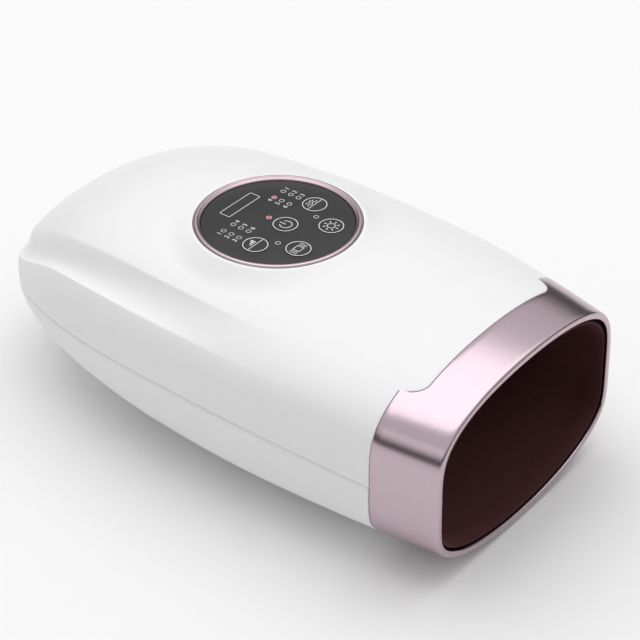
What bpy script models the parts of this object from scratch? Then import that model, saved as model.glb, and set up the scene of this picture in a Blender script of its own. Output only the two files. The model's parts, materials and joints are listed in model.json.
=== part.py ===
"""Hand massager with an air bladder, a heated pad and a five-key panel.

A white two-piece shell carries a metal-look collar round the hand opening.
Every y value below counts from the mouth, where the hand goes in, to the rear.
An empty at the mouth holds all the parts, so the part's own origin is under its middle.
"""

import math

import bmesh
import bpy
from mathutils import Matrix, Vector

# Overall body
BODY_LENGTH = 0.3055
HALF_WIDTH = 0.088
WIDEST_FROM_REAR = 0.1615
WIDEST_AT = BODY_LENGTH - WIDEST_FROM_REAR
MOUTH_NARROWING = 0.0146
PLAN_ALONG_POWER = 2.39
PLAN_ACROSS_POWER = 3.04
CROWN_HEIGHT = 0.111
CROWN_FROM_REAR = 0.1165
CROWN_AT = BODY_LENGTH - CROWN_FROM_REAR
MOUTH_CROWN_FALL = 0.011
MOUTH_CROWN_HEIGHT = CROWN_HEIGHT - MOUTH_CROWN_FALL
CROWN_ALONG_POWER = 2.37
CROWN_UP_POWER = 1.67
KEEL_HEIGHT = 0.002
KEEL_BEND_FROM_REAR = 0.2081
KEEL_BEND_AT = BODY_LENGTH - KEEL_BEND_FROM_REAR
KEEL_ALONG_POWER = 2.10
KEEL_UP_POWER = 1.553
SEAM_HEIGHT = 0.0475
SEAM_CLIMB = 0.0027
SEAM_BOW = 0.0098
SECTION_POWER_MOUTH = 4.86
SECTION_POWER_REAR = 3.44
CROWN_DROP_MOUTH = 0.01266
CROWN_DROP_REAR = 0.01338
KEEL_RISE_MOUTH = 0.01672
KEEL_RISE_REAR = 0.00982
BOW_SHARE = 0.30
MOUTH_LEAN = 0.0019
MOUTH_LEAN_REACH = 0.060

# Fits and walls
GAP = 0.0003
SEAM_GAP = 0.0003
SHELL_WALL = 0.0024
CUT_OVERRUN = 0.002

# Side coves of the upper shell
COVE_HEAD_SHARE = 0.735
COVE_FOOT_SHARE = 0.925
COVE_REAR_HEAD_SHARE = 0.785
COVE_REAR_FOOT_SHARE = 0.960
COVE_LENGTH = 0.2235
COVE_FULL_LENGTH = 0.1405
COVE_TURN_LENGTH = 0.0535
COVE_TURNED_LENGTH = 0.0175
COVE_STARTS_AT = BODY_LENGTH - COVE_LENGTH
COVE_FULL_AT = BODY_LENGTH - COVE_FULL_LENGTH
COVE_TURNS_AT = BODY_LENGTH - COVE_TURN_LENGTH
COVE_TURNED_AT = BODY_LENGTH - COVE_TURNED_LENGTH
COVE_DEPTH = 0.0034
COVE_FULL_CHORD = 0.0240

# Front collar
COLLAR_SIDE_DEPTH = 0.0357
COLLAR_TOP_DEPTH = 0.0250
COLLAR_CENTRE_DEPTH = 0.0256
COLLAR_WALL = 0.0024
COLLAR_LIP = 0.0036
COLLAR_LIP_DEPTH = 0.0085
COLLAR_LIP_ROUND = 0.0012
NOTCH_CORNER_SHARE = 0.714
NOTCH_START_SHARE = 0.606

# Liner frame under the collar and the shells' front edges
FRAME_WALL = 0.0018
FRAME_REACH = 0.0125

# Hand chamber
CHAMBER_SIDE_INSET = 0.0090
CHAMBER_TOP_INSET = 0.0140
CHAMBER_KEEL_INSET = 0.0090
CHAMBER_WALL = 0.0020
REAR_ROOM = 0.1005
CHAMBER_END = BODY_LENGTH - REAR_ROOM
END_PLATE_THICKNESS = 0.0025
END_PLATE_MARGIN = 0.0020

# Soft parts in the chamber
SOFT_CLEAR = 0.0008
BLADDER_THICKNESS = 0.0105
BLADDER_MARGIN = 0.0300
BLADDER_END_MARGIN = 0.0100
BLADDER_HALF_WIDTH = HALF_WIDTH - BLADDER_MARGIN
BLADDER_START = 0.0600
BLADDER_END = CHAMBER_END - BLADDER_END_MARGIN
PRESS_PAD_THICKNESS = 0.0040
PRESS_PAD_MARGIN = 0.0080
PRESS_PAD_END_MARGIN = 0.0070
PRESS_PAD_HALF_WIDTH = BLADDER_HALF_WIDTH - PRESS_PAD_MARGIN
PRESS_PAD_START = 0.0700
PRESS_PAD_END = BLADDER_END - PRESS_PAD_END_MARGIN
LINER_WALL = 0.0012
LINER_SETTLES_AT = 0.0640
LINER_END_MARGIN = 0.0040
LINER_END = CHAMBER_END - LINER_END_MARGIN
FOAM_THICKNESS = 0.0070
FOAM_MARGIN = 0.0320
FOAM_HALF_WIDTH = HALF_WIDTH - FOAM_MARGIN
FOAM_START = 0.0600
FOAM_END = BLADDER_END
HEATER_THICKNESS = 0.0015
HEATER_MARGIN = 0.0040
HEATER_END_MARGIN = 0.0050
HEATER_HALF_WIDTH = FOAM_HALF_WIDTH - HEATER_MARGIN
HEATER_START = 0.0660
HEATER_END = FOAM_END - HEATER_END_MARGIN

# Control panel
PANEL_FROM_REAR = 0.1507
PANEL_AT = BODY_LENGTH - PANEL_FROM_REAR
PANEL_RIM_RISE = 0.0002
PANEL_RIM_HEIGHT = CROWN_HEIGHT + PANEL_RIM_RISE
BEZEL_RADIUS = 0.0425
BEZEL_WIDTH = 0.0037
BEZEL_STANDS = 0.0009
BEZEL_CHAMFER = 0.0011
LEDGE_DEPTH = 0.0030
LEDGE_WIDTH = 0.0020
SEAT_RIM_WIDTH = 0.0016
SEAT_BLEND_WIDTH = 0.0125
SEAT_DEPTH = 0.0054
LENS_THICKNESS = 0.0020
PANEL_SEGMENTS = 40

# Keys of the panel
KEY_RADIUS = 0.0065
KEY_STANDS = 0.0003
KEY_TRAVEL = 0.0005
KEY_FLANGE_WIDTH = 0.0009
KEY_FLANGE_THICKNESS = 0.0010
KEY_STEM_RADIUS = 0.0018
KEY_SEGMENTS = 14
KEY_SIDE_PITCH = 0.0234
KEY_LOWER_PITCH = 0.0130
KEY_ROW_OFFSET = -0.0047
KEY_LOWER_OFFSET = -0.0235

# Lamps of the panel
LAMP_WINDOW_RADIUS = 0.0013
LAMP_POST_RADIUS = 0.0010
LAMP_SEGMENTS = 6
LAMP_GROUP_OFFSET = 0.0198
LAMP_COLUMN_PITCH = 0.0073
LAMP_ROW_PITCH = 0.0049
LAMP_TOP_ROW = 0.0158
POWER_LAMP_OFFSET = 0.0059
MODE_LAMP_ACROSS = 0.0151
MODE_LAMP_OFFSET = -0.0122

# Light guide, control board and its switches
GUIDE_THICKNESS = 0.0012
BOARD_THICKNESS = 0.0016
BOARD_RADIUS = 0.0430
BOARD_DROP = 0.0055
SWITCH_SIDE = 0.0060
SWITCH_HEIGHT = 0.0020
SWITCH_SINK = 0.0002
PLUNGER_RADIUS = 0.0016
PLUNGER_HEIGHT = 0.0007
LED_SIDE = 0.0016
LED_HEIGHT = 0.0007
BOARD_BOSS_RADIUS = 0.0026
BOARD_BOSS_CIRCLE = 0.0400
BOARD_BOSS_ANGLES = (45.0, 135.0, 225.0, 315.0)
SMALL_SCREW_RADIUS = 0.0010
SMALL_SCREW_HEAD_RADIUS = 0.0019
SMALL_SCREW_HEAD_HEIGHT = 0.0012
SMALL_SCREW_LENGTH = 0.0042

# Case screws and their posts
SCREW_RADIUS = 0.0014
SCREW_HEAD_RADIUS = 0.0027
SCREW_HEAD_HEIGHT = 0.0018
SCREW_HOLE_RADIUS = 0.0018
SCREW_WELL_RADIUS = 0.0031
SCREW_SHANK = 0.0100
POST_RADIUS = 0.0044
CHAMBER_SCREW_MARGIN = 0.0400
CHAMBER_SCREW_START = 0.0720
CHAMBER_SCREW_END_MARGIN = 0.0330
CHAMBER_SCREW_ACROSS = HALF_WIDTH - CHAMBER_SCREW_MARGIN
CHAMBER_SCREW_ALONG = (CHAMBER_SCREW_START, CHAMBER_END - CHAMBER_SCREW_END_MARGIN)
CHAMBER_SCREW_SHANK = 0.0060
CHAMBER_POST_RADIUS = 0.0034
REAR_SCREW_MARGIN = 0.0220
REAR_SCREW_FROM_REAR = 0.0915
REAR_SCREW_ACROSS = HALF_WIDTH - REAR_SCREW_MARGIN
REAR_SCREW_AT = BODY_LENGTH - REAR_SCREW_FROM_REAR
REAR_POST_FLOOR = 0.0050
SCREW_SEGMENTS = 6
ROUND_SEGMENTS = 8

# Feet
FOOT_MARGIN = 0.0520
FRONT_FOOT_AT = 0.0530
REAR_FOOT_FROM_REAR = 0.0955
FOOT_ACROSS = HALF_WIDTH - FOOT_MARGIN
FOOT_ALONG = (FRONT_FOOT_AT, BODY_LENGTH - REAR_FOOT_FROM_REAR)
FOOT_RADIUS = 0.0085
FOOT_THICKNESS = 0.0030
FOOT_RECESS = 0.0010
FOOT_PAD_WIDTH = 0.0022
FOOT_ROUND = 0.0006
FOOT_SEGMENTS = 16

# Room behind the chamber: under a shelf for the battery, and over it for the air parts
CELL_FLOOR_HEIGHT = 0.0298
SHELF_SHARE = 0.3719
SHELF_HEIGHT = CELL_FLOOR_HEIGHT + (CROWN_HEIGHT - CELL_FLOOR_HEIGHT) * SHELF_SHARE
CELL_ROOM = SHELF_HEIGHT - CELL_FLOOR_HEIGHT
WORKS_ROOM = CROWN_HEIGHT - SHELF_HEIGHT

# Battery, its tray and the main board
CELL_RADIUS_SHARE = 0.3046
CELL_SPACING = 0.0012
MAIN_BOARD_SHARE = 0.6689
CELL_RADIUS = CELL_ROOM * CELL_RADIUS_SHARE
CELL_LENGTH = 0.0650
CELL_HEIGHT = CELL_FLOOR_HEIGHT + CELL_RADIUS
CELL_PITCH = CELL_RADIUS * 2 + CELL_SPACING
CELL_CLEAR = 0.0080
CELL_AT = CHAMBER_END + CELL_CLEAR + CELL_RADIUS + CELL_PITCH / 2
CELL_CAP_RADIUS = 0.0030
CELL_CAP_HEIGHT = 0.0008
TRAY_WALL = 0.0018
TRAY_HEIGHT = 0.0120
BOARD_POST_RADIUS = 0.0025
MAIN_BOARD_WIDTH = 0.0800
MAIN_BOARD_LENGTH = 0.0380
MAIN_BOARD_HEIGHT = CELL_FLOOR_HEIGHT + CELL_ROOM * MAIN_BOARD_SHARE
SOCKET_WIDTH = 0.0120
SOCKET_LENGTH = 0.0060
SOCKET_HEIGHT = 0.0050

# Shelf on the end plate, with the pump, the valves and the vibration motor
SHELF_THICKNESS = 0.0025
SHELF_WIDTH = 0.1000
SHELF_LENGTH = 0.0500
SHELF_WEB = 0.0030
PUMP_FROM_REAR = 0.0695
PUMP_AT = BODY_LENGTH - PUMP_FROM_REAR
PUMP_MOTOR_SHARE = 0.2353
PUMP_MOTOR_RADIUS = WORKS_ROOM * PUMP_MOTOR_SHARE
PUMP_MOTOR_LENGTH = 0.0300
PUMP_START_MARGIN = 0.0660
PUMP_MOTOR_START = HALF_WIDTH / 2 - PUMP_START_MARGIN
PUMP_SHAFT_RADIUS = 0.0012
PUMP_HEAD_SHARE = 0.2549
PUMP_THROAT_SHARE = 0.5385
PUMP_CAM_SHARE = 0.6429
PUMP_CAM_OFFSET_SHARE = 0.1714
PUMP_HEAD_RADIUS = WORKS_ROOM * PUMP_HEAD_SHARE
PUMP_THROAT = PUMP_HEAD_RADIUS * PUMP_THROAT_SHARE
PUMP_CAM_RADIUS = PUMP_THROAT * PUMP_CAM_SHARE
PUMP_CAM_THICKNESS = 0.0040
PUMP_CAM_OFFSET = PUMP_THROAT * PUMP_CAM_OFFSET_SHARE
PUMP_HEAD_LENGTH = 0.0160
PUMP_HEAD_WALL = 0.0016
NOZZLE_RADIUS = 0.0020
NOZZLE_LENGTH = 0.0060
CRADLE_WALL = 0.0020
CRADLE_RISE_SHARE = 0.55
VALVE_WIDTH = 0.0120
VALVE_LENGTH = 0.0160
BLADDER_MIDDLE_DEPTH = 0.0265
AIR_ROOM = WORKS_ROOM - BLADDER_MIDDLE_DEPTH
VALVE_HEIGHT_SHARE = 0.449
VALVE_NOZZLE_SHARE = 0.1633
VALVE_HEIGHT = AIR_ROOM * VALVE_HEIGHT_SHARE
VALVE_FROM_REAR = 0.0825
VALVE_AT = BODY_LENGTH - VALVE_FROM_REAR
VALVE_FROM_MOTOR = 0.0650
VALVE_ACROSS = PUMP_MOTOR_START + VALVE_FROM_MOTOR
VALVE_NOZZLE_LENGTH = AIR_ROOM * VALVE_NOZZLE_SHARE
VIBRATOR_AT = PUMP_AT
VIBRATOR_SHARE = 0.1765
VIBRATOR_RADIUS = WORKS_ROOM * VIBRATOR_SHARE
VIBRATOR_LENGTH = 0.0180
VIBRATOR_FROM_MOTOR = 0.0230
VIBRATOR_START = PUMP_MOTOR_START - VIBRATOR_FROM_MOTOR
VIBRATOR_SHAFT_RADIUS = 0.0010
VIBRATOR_WEIGHT_CLEAR = 0.0015
VIBRATOR_WEIGHT_RADIUS = VIBRATOR_RADIUS - VIBRATOR_WEIGHT_CLEAR
VIBRATOR_WEIGHT_THICKNESS = 0.0050
VIBRATOR_WEIGHT_GAP = 0.0010

# Air hoses and the ribbon cable
HOSE_RADIUS = 0.0022
HOSE_LEAD_SHARE = 0.0898
HOSE_LEAD = AIR_ROOM * HOSE_LEAD_SHARE
RIBBON_WIDTH = 0.0120
RIBBON_THICKNESS = 0.0005
RIBBON_CLEAR = 0.0010
RIBBON_SLOT = 0.0040

# Charging inlet at the rear
INLET_HEIGHT = 0.0440
INLET_WIDTH = 0.0130
INLET_TALL = 0.0070
INLET_LENGTH = 0.0090
INLET_SLOT_WIDTH = 0.0088
INLET_SLOT_HEIGHT = 0.0030
INLET_SLOT_DEPTH = 0.0060
INLET_FACE_SINK = 0.0130
INLET_FACE_AT = BODY_LENGTH - INLET_FACE_SINK
INLET_POCKET_WIDTH = 0.0190
INLET_POCKET_HEIGHT = 0.0090
INLET_POCKET_WALL = 0.0020

WHITE = (0.90, 0.90, 0.91, 1.0)
ROSE_METAL = (0.62, 0.50, 0.53, 1.0)
PANEL_BLACK = (0.035, 0.035, 0.037, 1.0)
KEY_GREY = (0.06, 0.06, 0.063, 1.0)
BURGUNDY = (0.07, 0.016, 0.018, 1.0)
LAMP_CLEAR = (0.75, 0.78, 0.80, 1.0)
RUBBER_GREY = (0.10, 0.10, 0.10, 1.0)
FRAME_GREY = (0.55, 0.56, 0.58, 1.0)
BLADDER_GREY = (0.30, 0.31, 0.34, 1.0)
FOAM_GREY = (0.22, 0.22, 0.23, 1.0)
HEATER_AMBER = (0.55, 0.28, 0.08, 1.0)
BOARD_GREEN = (0.02, 0.16, 0.07, 1.0)
STEEL = (0.60, 0.60, 0.62, 1.0)
CELL_BLUE = (0.05, 0.20, 0.45, 1.0)
VALVE_BLACK = (0.04, 0.04, 0.045, 1.0)
HOSE_CLEAR = (0.70, 0.72, 0.74, 1.0)

PARTS = bpy.data.collections.new("hand_massager")
CUTTERS = bpy.data.collections.new("hand_massager_cutters")
MATERIALS = {}


# Scene, materials and objects

def clear_scene():
    for old in list(bpy.data.objects):
        bpy.data.objects.remove(old, do_unlink=True)


def material(name, colour, roughness, metallic=0.0):
    if name not in MATERIALS:
        made = bpy.data.materials.new(name)
        made.use_nodes = True
        shader = made.node_tree.nodes["Principled BSDF"]
        shader.inputs["Base Color"].default_value = colour
        shader.inputs["Roughness"].default_value = roughness
        shader.inputs["Metallic"].default_value = metallic
        MATERIALS[name] = made
    return MATERIALS[name]


def add_part(obj, made_of):
    """Put a finished object among the parts, under the mouth's empty."""
    for home in list(obj.users_collection):
        home.objects.unlink(obj)
    PARTS.objects.link(obj)
    if obj.parent is None:
        obj.parent = bpy.data.objects["mouth_centre"]
    obj.data.materials.clear()
    obj.data.materials.append(made_of)
    return obj


def add_cutter(obj):
    """Keep a cutting or joining shape out of the parts."""
    for home in list(obj.users_collection):
        home.objects.unlink(obj)
    CUTTERS.objects.link(obj)
    obj.parent = bpy.data.objects["mouth_centre"]
    obj.hide_render = True
    obj.display_type = "WIRE"
    return obj


def new_object(name, fill):
    """Object whose mesh is made by fill, a function that takes a bmesh."""
    mesh = bpy.data.meshes.new(name)
    bm = bmesh.new()
    fill(bm)
    bm.to_mesh(mesh)
    bm.free()
    obj = bpy.data.objects.new(name, mesh)
    bpy.context.scene.collection.objects.link(obj)
    return obj


def combine(obj, other, operation):
    """Boolean of obj with other, kept live on obj."""
    modifier = obj.modifiers.new(operation.lower(), "BOOLEAN")
    modifier.operation = operation
    modifier.object = add_cutter(other)
    return obj


def smooth_round(obj):
    obj.data.shade_smooth()
    obj.data.set_sharp_from_angle(angle=math.radians(35.0))
    return obj


# Basic shapes

def fill_box(bm, size, centre):
    place = Matrix.Translation(centre) @ Matrix.Diagonal((*size, 1.0))
    bmesh.ops.create_cube(bm, size=1.0, matrix=place)


def fill_cylinder(bm, radius, start, end, segments=ROUND_SEGMENTS, end_radius=None):
    """Cylinder or cone from one point to another."""
    start = Vector(start)
    axis = Vector(end) - start
    turn = axis.to_track_quat("Z", "Y").to_matrix().to_4x4()
    place = Matrix.Translation(start + axis / 2) @ turn
    far_radius = radius if end_radius is None else end_radius
    bmesh.ops.create_cone(bm, cap_ends=True, segments=segments, radius1=radius,
                          radius2=far_radius, depth=axis.length, matrix=place)


def box(name, size, centre):
    return new_object(name, lambda bm: fill_box(bm, size, centre))


def cylinder(name, radius, start, end, segments=ROUND_SEGMENTS, end_radius=None):
    return new_object(name, lambda bm: fill_cylinder(bm, radius, start, end, segments, end_radius))


def cylinders(name, items):
    """One object of several separate cylinders, each (radius, start, end, segments)."""
    def fill(bm):
        for radius, start, end, segments in items:
            fill_cylinder(bm, radius, start, end, segments)
    return new_object(name, fill)


def turned(name, profile, location, steps, closed=False):
    """Profile of (radius, height) pairs turned about the upright axis at location."""
    def fill(bm):
        points = [bm.verts.new((radius, 0.0, height)) for radius, height in profile]
        pairs = list(zip(points, points[1:]))
        if closed:
            pairs.append((points[-1], points[0]))
        for pair in pairs:
            bm.edges.new(pair)
    obj = new_object(name, fill)
    obj.location = location
    screw = obj.modifiers.new("turn", "SCREW")
    screw.axis = "Z"
    screw.steps = steps
    screw.render_steps = steps
    screw.use_merge_vertices = True
    screw.merge_threshold = 0.00001
    screw.use_smooth_shade = True
    return obj


def sheet(name, rows, flip=False):
    """Open surface through rows of points; a row of one point is a tip."""
    def fill(bm):
        grid = [[bm.verts.new(point) for point in row] for row in rows]
        for near, far in zip(grid, grid[1:]):
            for index in range(max(len(near), len(far)) - 1):
                if len(far) == 1:
                    corners = [near[index], near[index + 1], far[0]]
                else:
                    corners = [near[index], near[index + 1], far[index + 1], far[index]]
                bm.faces.new(corners[::-1] if flip else corners)
    return new_object(name, fill)


def closed_loft(name, rings, closed_along=False):
    """Closed solid through rings of equal length, capped unless it closes along."""
    def fill(bm):
        grid = [[bm.verts.new(point) for point in ring] for ring in rings]
        count = len(grid[0])
        pairs = list(zip(grid, grid[1:]))
        if closed_along:
            pairs.append((grid[-1], grid[0]))
        for near, far in pairs:
            for index in range(count):
                after = (index + 1) % count
                bm.faces.new((near[index], near[after], far[after], far[index]))
        if not closed_along:
            bm.faces.new(grid[0][::-1])
            bm.faces.new(grid[-1])
        bmesh.ops.recalc_face_normals(bm, faces=bm.faces)
    return new_object(name, fill)


def thicken(obj, wall):
    solidify = obj.modifiers.new("wall", "SOLIDIFY")
    solidify.thickness = wall
    solidify.offset = -1.0
    return obj


def ease(value, start, end):
    """Smooth step from 0 at start to 1 at end."""
    share = min(1.0, max(0.0, (value - start) / (end - start)))
    return share * share * (3.0 - 2.0 * share)


def between(first, last, share):
    return first + (last - first) * share


# The body's outer form

def half_width(y):
    if y < WIDEST_AT:
        return HALF_WIDTH - MOUTH_NARROWING * ((WIDEST_AT - y) / WIDEST_AT) ** 2
    share = min(1.0, (y - WIDEST_AT) / (BODY_LENGTH - WIDEST_AT))
    return HALF_WIDTH * (1.0 - share ** PLAN_ALONG_POWER) ** (1.0 / PLAN_ACROSS_POWER)


def seam_height(y):
    share = y / BODY_LENGTH
    return SEAM_HEIGHT + SEAM_CLIMB * share + SEAM_BOW * 4.0 * share * (1.0 - share)


def crown_height(y):
    if y < CROWN_AT:
        fall = ((CROWN_AT - y) / CROWN_AT) ** 2
        return CROWN_HEIGHT - (CROWN_HEIGHT - MOUTH_CROWN_HEIGHT) * fall
    share = min(1.0, (y - CROWN_AT) / (BODY_LENGTH - CROWN_AT))
    fullness = (1.0 - share ** CROWN_ALONG_POWER) ** (1.0 / CROWN_UP_POWER)
    return between(seam_height(BODY_LENGTH), CROWN_HEIGHT, fullness)


def keel_height(y):
    share = min(1.0, max(0.0, (y - KEEL_BEND_AT) / (BODY_LENGTH - KEEL_BEND_AT)))
    fullness = (1.0 - share ** KEEL_ALONG_POWER) ** (1.0 / KEEL_UP_POWER)
    return between(seam_height(BODY_LENGTH), KEEL_HEIGHT, fullness)


def section_power(y):
    return between(SECTION_POWER_MOUTH, SECTION_POWER_REAR, y / BODY_LENGTH)


def unit_height(across, power):
    return max(0.0, 1.0 - abs(across) ** power) ** (1.0 / power)


def skin_point(y, across, up, side_inset=0.0, top_inset=0.0, seam_clear=0.0):
    """Point of the outer form; across and up are shares of the section's reach.

    A positive up is above the seam and a negative one below it.
    """
    width = half_width(y)
    fullness = width / HALF_WIDTH
    seam = seam_height(y)
    share = y / BODY_LENGTH
    if up >= 0.0:
        drop = between(CROWN_DROP_MOUTH, CROWN_DROP_REAR, share) * fullness
        reach = max(0.0, crown_height(y) - top_inset - seam - seam_clear)
        height = seam + seam_clear + (reach - min(drop, reach * BOW_SHARE) * across ** 2) * up
    else:
        rise = between(KEEL_RISE_MOUTH, KEEL_RISE_REAR, share) * fullness
        reach = max(0.0, seam - seam_clear - keel_height(y) - top_inset)
        height = seam - seam_clear + (reach - min(rise, reach * BOW_SHARE) * across ** 2) * up
    lean = MOUTH_LEAN * height / MOUTH_CROWN_HEIGHT
    lean *= max(0.0, 1.0 - y / MOUTH_LEAN_REACH)
    return Vector((across * max(0.0, width - side_inset), y + lean, height))


def skin_height(x, y, inset=0.0):
    """Height of the top skin over a point of the plan."""
    across = x / (half_width(y) - inset)
    return skin_point(y, across, unit_height(across, section_power(y)), inset, inset).z


def keel_skin_height(x, y, inset=0.0):
    """Height of the bottom skin under a point of the plan."""
    across = x / (half_width(y) - inset)
    return skin_point(y, across, -unit_height(across, section_power(y)), inset, inset).z


# Columns of the outer form, from the left seam over the top to the right one

DECK_SHARES = (0.0, 0.25, 0.48, 0.68)
NOTCH_ANGLES = (0.0, 32.0, 62.0, 90.0)
COVE_SHARES = (0.14, 0.50, 0.86, 1.0)
SIDE_SHARES = (0.72, 0.40, 0.0)
KEEL_SHARES = (0.0, 0.32, 0.58, 0.76, 0.87)
BILGE_SHARES = (0.69, 0.40, 0.0)


def cove_head(y):
    return between(COVE_HEAD_SHARE, COVE_REAR_HEAD_SHARE, ease(y, COVE_TURNS_AT, COVE_TURNED_AT))


def cove_foot(y):
    return between(COVE_FOOT_SHARE, COVE_REAR_FOOT_SHARE, ease(y, COVE_TURNS_AT, COVE_TURNED_AT))


def deck_columns():
    """Shares of the deck's half width, the notch's corner points among them."""
    notch = []
    for angle in NOTCH_ANGLES:
        turn = math.sin(math.radians(angle))
        notch.append(between(NOTCH_START_SHARE, NOTCH_CORNER_SHARE, turn) / COVE_HEAD_SHARE)
    return list(DECK_SHARES) + notch + [1.0]


def half_top_section(y, side_inset=0.0, top_inset=0.0, with_cove=True, seam_clear=0.0):
    """Points of the right half, from the crown to the seam."""
    power = section_power(y)
    head = cove_head(y)
    foot = cove_foot(y)

    def on_skin(across):
        up = unit_height(across, power)
        return skin_point(y, across, up, side_inset, top_inset, seam_clear)

    points = [on_skin(share * head) for share in deck_columns()]
    top = on_skin(head)
    bottom = on_skin(foot)
    chord = bottom - top
    inward = Vector((chord.z, 0.0, -chord.x)).normalized()
    if inward.z > 0.0:
        inward = -inward
    fullness = min(1.0, chord.length / COVE_FULL_CHORD)
    depth = COVE_DEPTH * ease(y, COVE_STARTS_AT, COVE_TURNS_AT) * fullness
    strength = ease(y, COVE_STARTS_AT, COVE_FULL_AT) if with_cove else 0.0
    for share in COVE_SHARES:
        plain = on_skin(between(head, foot, share))
        hollow = top + chord * share + inward * depth * 4.0 * share * (1.0 - share)
        points.append(plain.lerp(hollow, strength))
    foot_up = unit_height(foot, power)
    for share in SIDE_SHARES:
        up = foot_up * share
        across = unit_height(up, power)
        points.append(skin_point(y, across, up, side_inset, top_inset, seam_clear))
    return points


def half_keel_section(y, side_inset=0.0, keel_inset=0.0, seam_clear=0.0):
    """Points of the right half, from the keel to the seam."""
    power = section_power(y)
    shares = [(share, unit_height(share, power)) for share in KEEL_SHARES]
    shares += [(unit_height(share, power), share) for share in BILGE_SHARES]
    points = []
    for across, down in shares:
        point = skin_point(y, across, -down, side_inset, keel_inset, seam_clear)
        if down == 0.0:
            point.z = seam_height(y) - seam_clear
        points.append(point)
    return points


def mirrored(half):
    """Full row, left seam to right seam, from the right half."""
    left = [Vector((-point.x, point.y, point.z)) for point in half[:0:-1]]
    return left + half


def collar_edge(across):
    """Depth of the collar's rear edge where the half-width share is across."""
    across = abs(across)
    if across >= NOTCH_CORNER_SHARE:
        return COLLAR_SIDE_DEPTH
    if across <= NOTCH_START_SHARE:
        share = 1.0 - across / NOTCH_START_SHARE
        return between(COLLAR_TOP_DEPTH, COLLAR_CENTRE_DEPTH, share ** 2)
    turn = (across - NOTCH_START_SHARE) / (NOTCH_CORNER_SHARE - NOTCH_START_SHARE)
    return COLLAR_SIDE_DEPTH - (COLLAR_SIDE_DEPTH - COLLAR_TOP_DEPTH) * math.sqrt(1.0 - turn ** 2)


def top_column_edges():
    """Collar depth for each column of the right half of the top."""
    edges = [collar_edge(share * COVE_HEAD_SHARE) for share in deck_columns()]
    return edges + [COLLAR_SIDE_DEPTH] * (len(COVE_SHARES) + len(SIDE_SHARES))


def rear_rows(count):
    """Depths from the widest section to near the rear tip, closer and closer."""
    rows = []
    for index in range(1, count):
        turn = math.radians(90.0 * index / count)
        share = math.sin(turn) ** (2.0 / PLAN_ALONG_POWER)
        rows.append(between(WIDEST_AT, BODY_LENGTH, share))
    tip_width_share = 0.12
    tip_share = (1.0 - tip_width_share ** PLAN_ACROSS_POWER) ** (1.0 / PLAN_ALONG_POWER)
    rows.append(between(WIDEST_AT, BODY_LENGTH, tip_share))
    return rows


def front_rows(count):
    """Depths from just behind the collar to the widest section."""
    start = COLLAR_SIDE_DEPTH + FRAME_REACH
    return [between(start, WIDEST_AT, index / (count - 1)) for index in range(count)]


def tip_point(seam_clear, inset=0.0):
    return Vector((0.0, BODY_LENGTH - inset, seam_height(BODY_LENGTH) + seam_clear))


def top_skin_rows():
    clear = SEAM_GAP / 2
    rows = [[]]
    for index, depth in enumerate(top_column_edges()):
        rows[0].append(half_top_section(depth + GAP / 2, seam_clear=clear)[index])
    rows[0] = mirrored(rows[0])
    for y in front_rows(4) + rear_rows(8):
        rows.append(mirrored(half_top_section(y, seam_clear=clear)))
    rows.append([tip_point(clear)])
    return rows


def keel_skin_rows():
    clear = SEAM_GAP / 2
    rows = [mirrored(half_keel_section(COLLAR_SIDE_DEPTH + GAP / 2, seam_clear=clear))]
    for y in front_rows(3) + rear_rows(8):
        rows.append(mirrored(half_keel_section(y, seam_clear=clear)))
    rows.append([tip_point(-clear)])
    return rows


def full_ring(y, side_inset, top_inset, keel_inset):
    """Closed ring of the outer form, drawn in by the insets."""
    top = mirrored(half_top_section(y, side_inset, top_inset))
    keel = mirrored(half_keel_section(y, side_inset, keel_inset))
    return top + keel[-2:0:-1]


def core_solid(name):
    """Solid that ends half way into the shells' walls; it trims posts and ribs to them."""
    inset = SHELL_WALL / 2
    rows = [COLLAR_SIDE_DEPTH] + front_rows(4) + rear_rows(15)[:-2]
    return closed_loft(name, [full_ring(y, inset, inset, inset) for y in rows])


# Plainer rings and arches for the pieces inside the shells

PLAIN_SHARES = (0.0, 0.30, 0.55, 0.75, 0.88, 0.95)
PLAIN_SIDE_SHARES = (0.52, 0.26, 0.0)


def plain_half(y, side_inset, top_inset, sign, seam_clear=0.0):
    """Points of the right half from the middle to the seam; sign is 1 above it, -1 below."""
    power = section_power(y)
    shares = [(share, unit_height(share, power)) for share in PLAIN_SHARES]
    shares += [(unit_height(share, power), share) for share in PLAIN_SIDE_SHARES]
    points = []
    for across, up in shares:
        point = skin_point(y, across, up * sign, side_inset, top_inset, seam_clear)
        if up == 0.0:
            point.z = seam_height(y) + seam_clear * sign
        points.append(point)
    return points


def plain_ring(y, side_inset, top_inset, keel_inset):
    top = mirrored(plain_half(y, side_inset, top_inset, 1.0))
    keel = mirrored(plain_half(y, side_inset, keel_inset, -1.0))
    return top + keel[-2:0:-1]


# Shells

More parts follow.
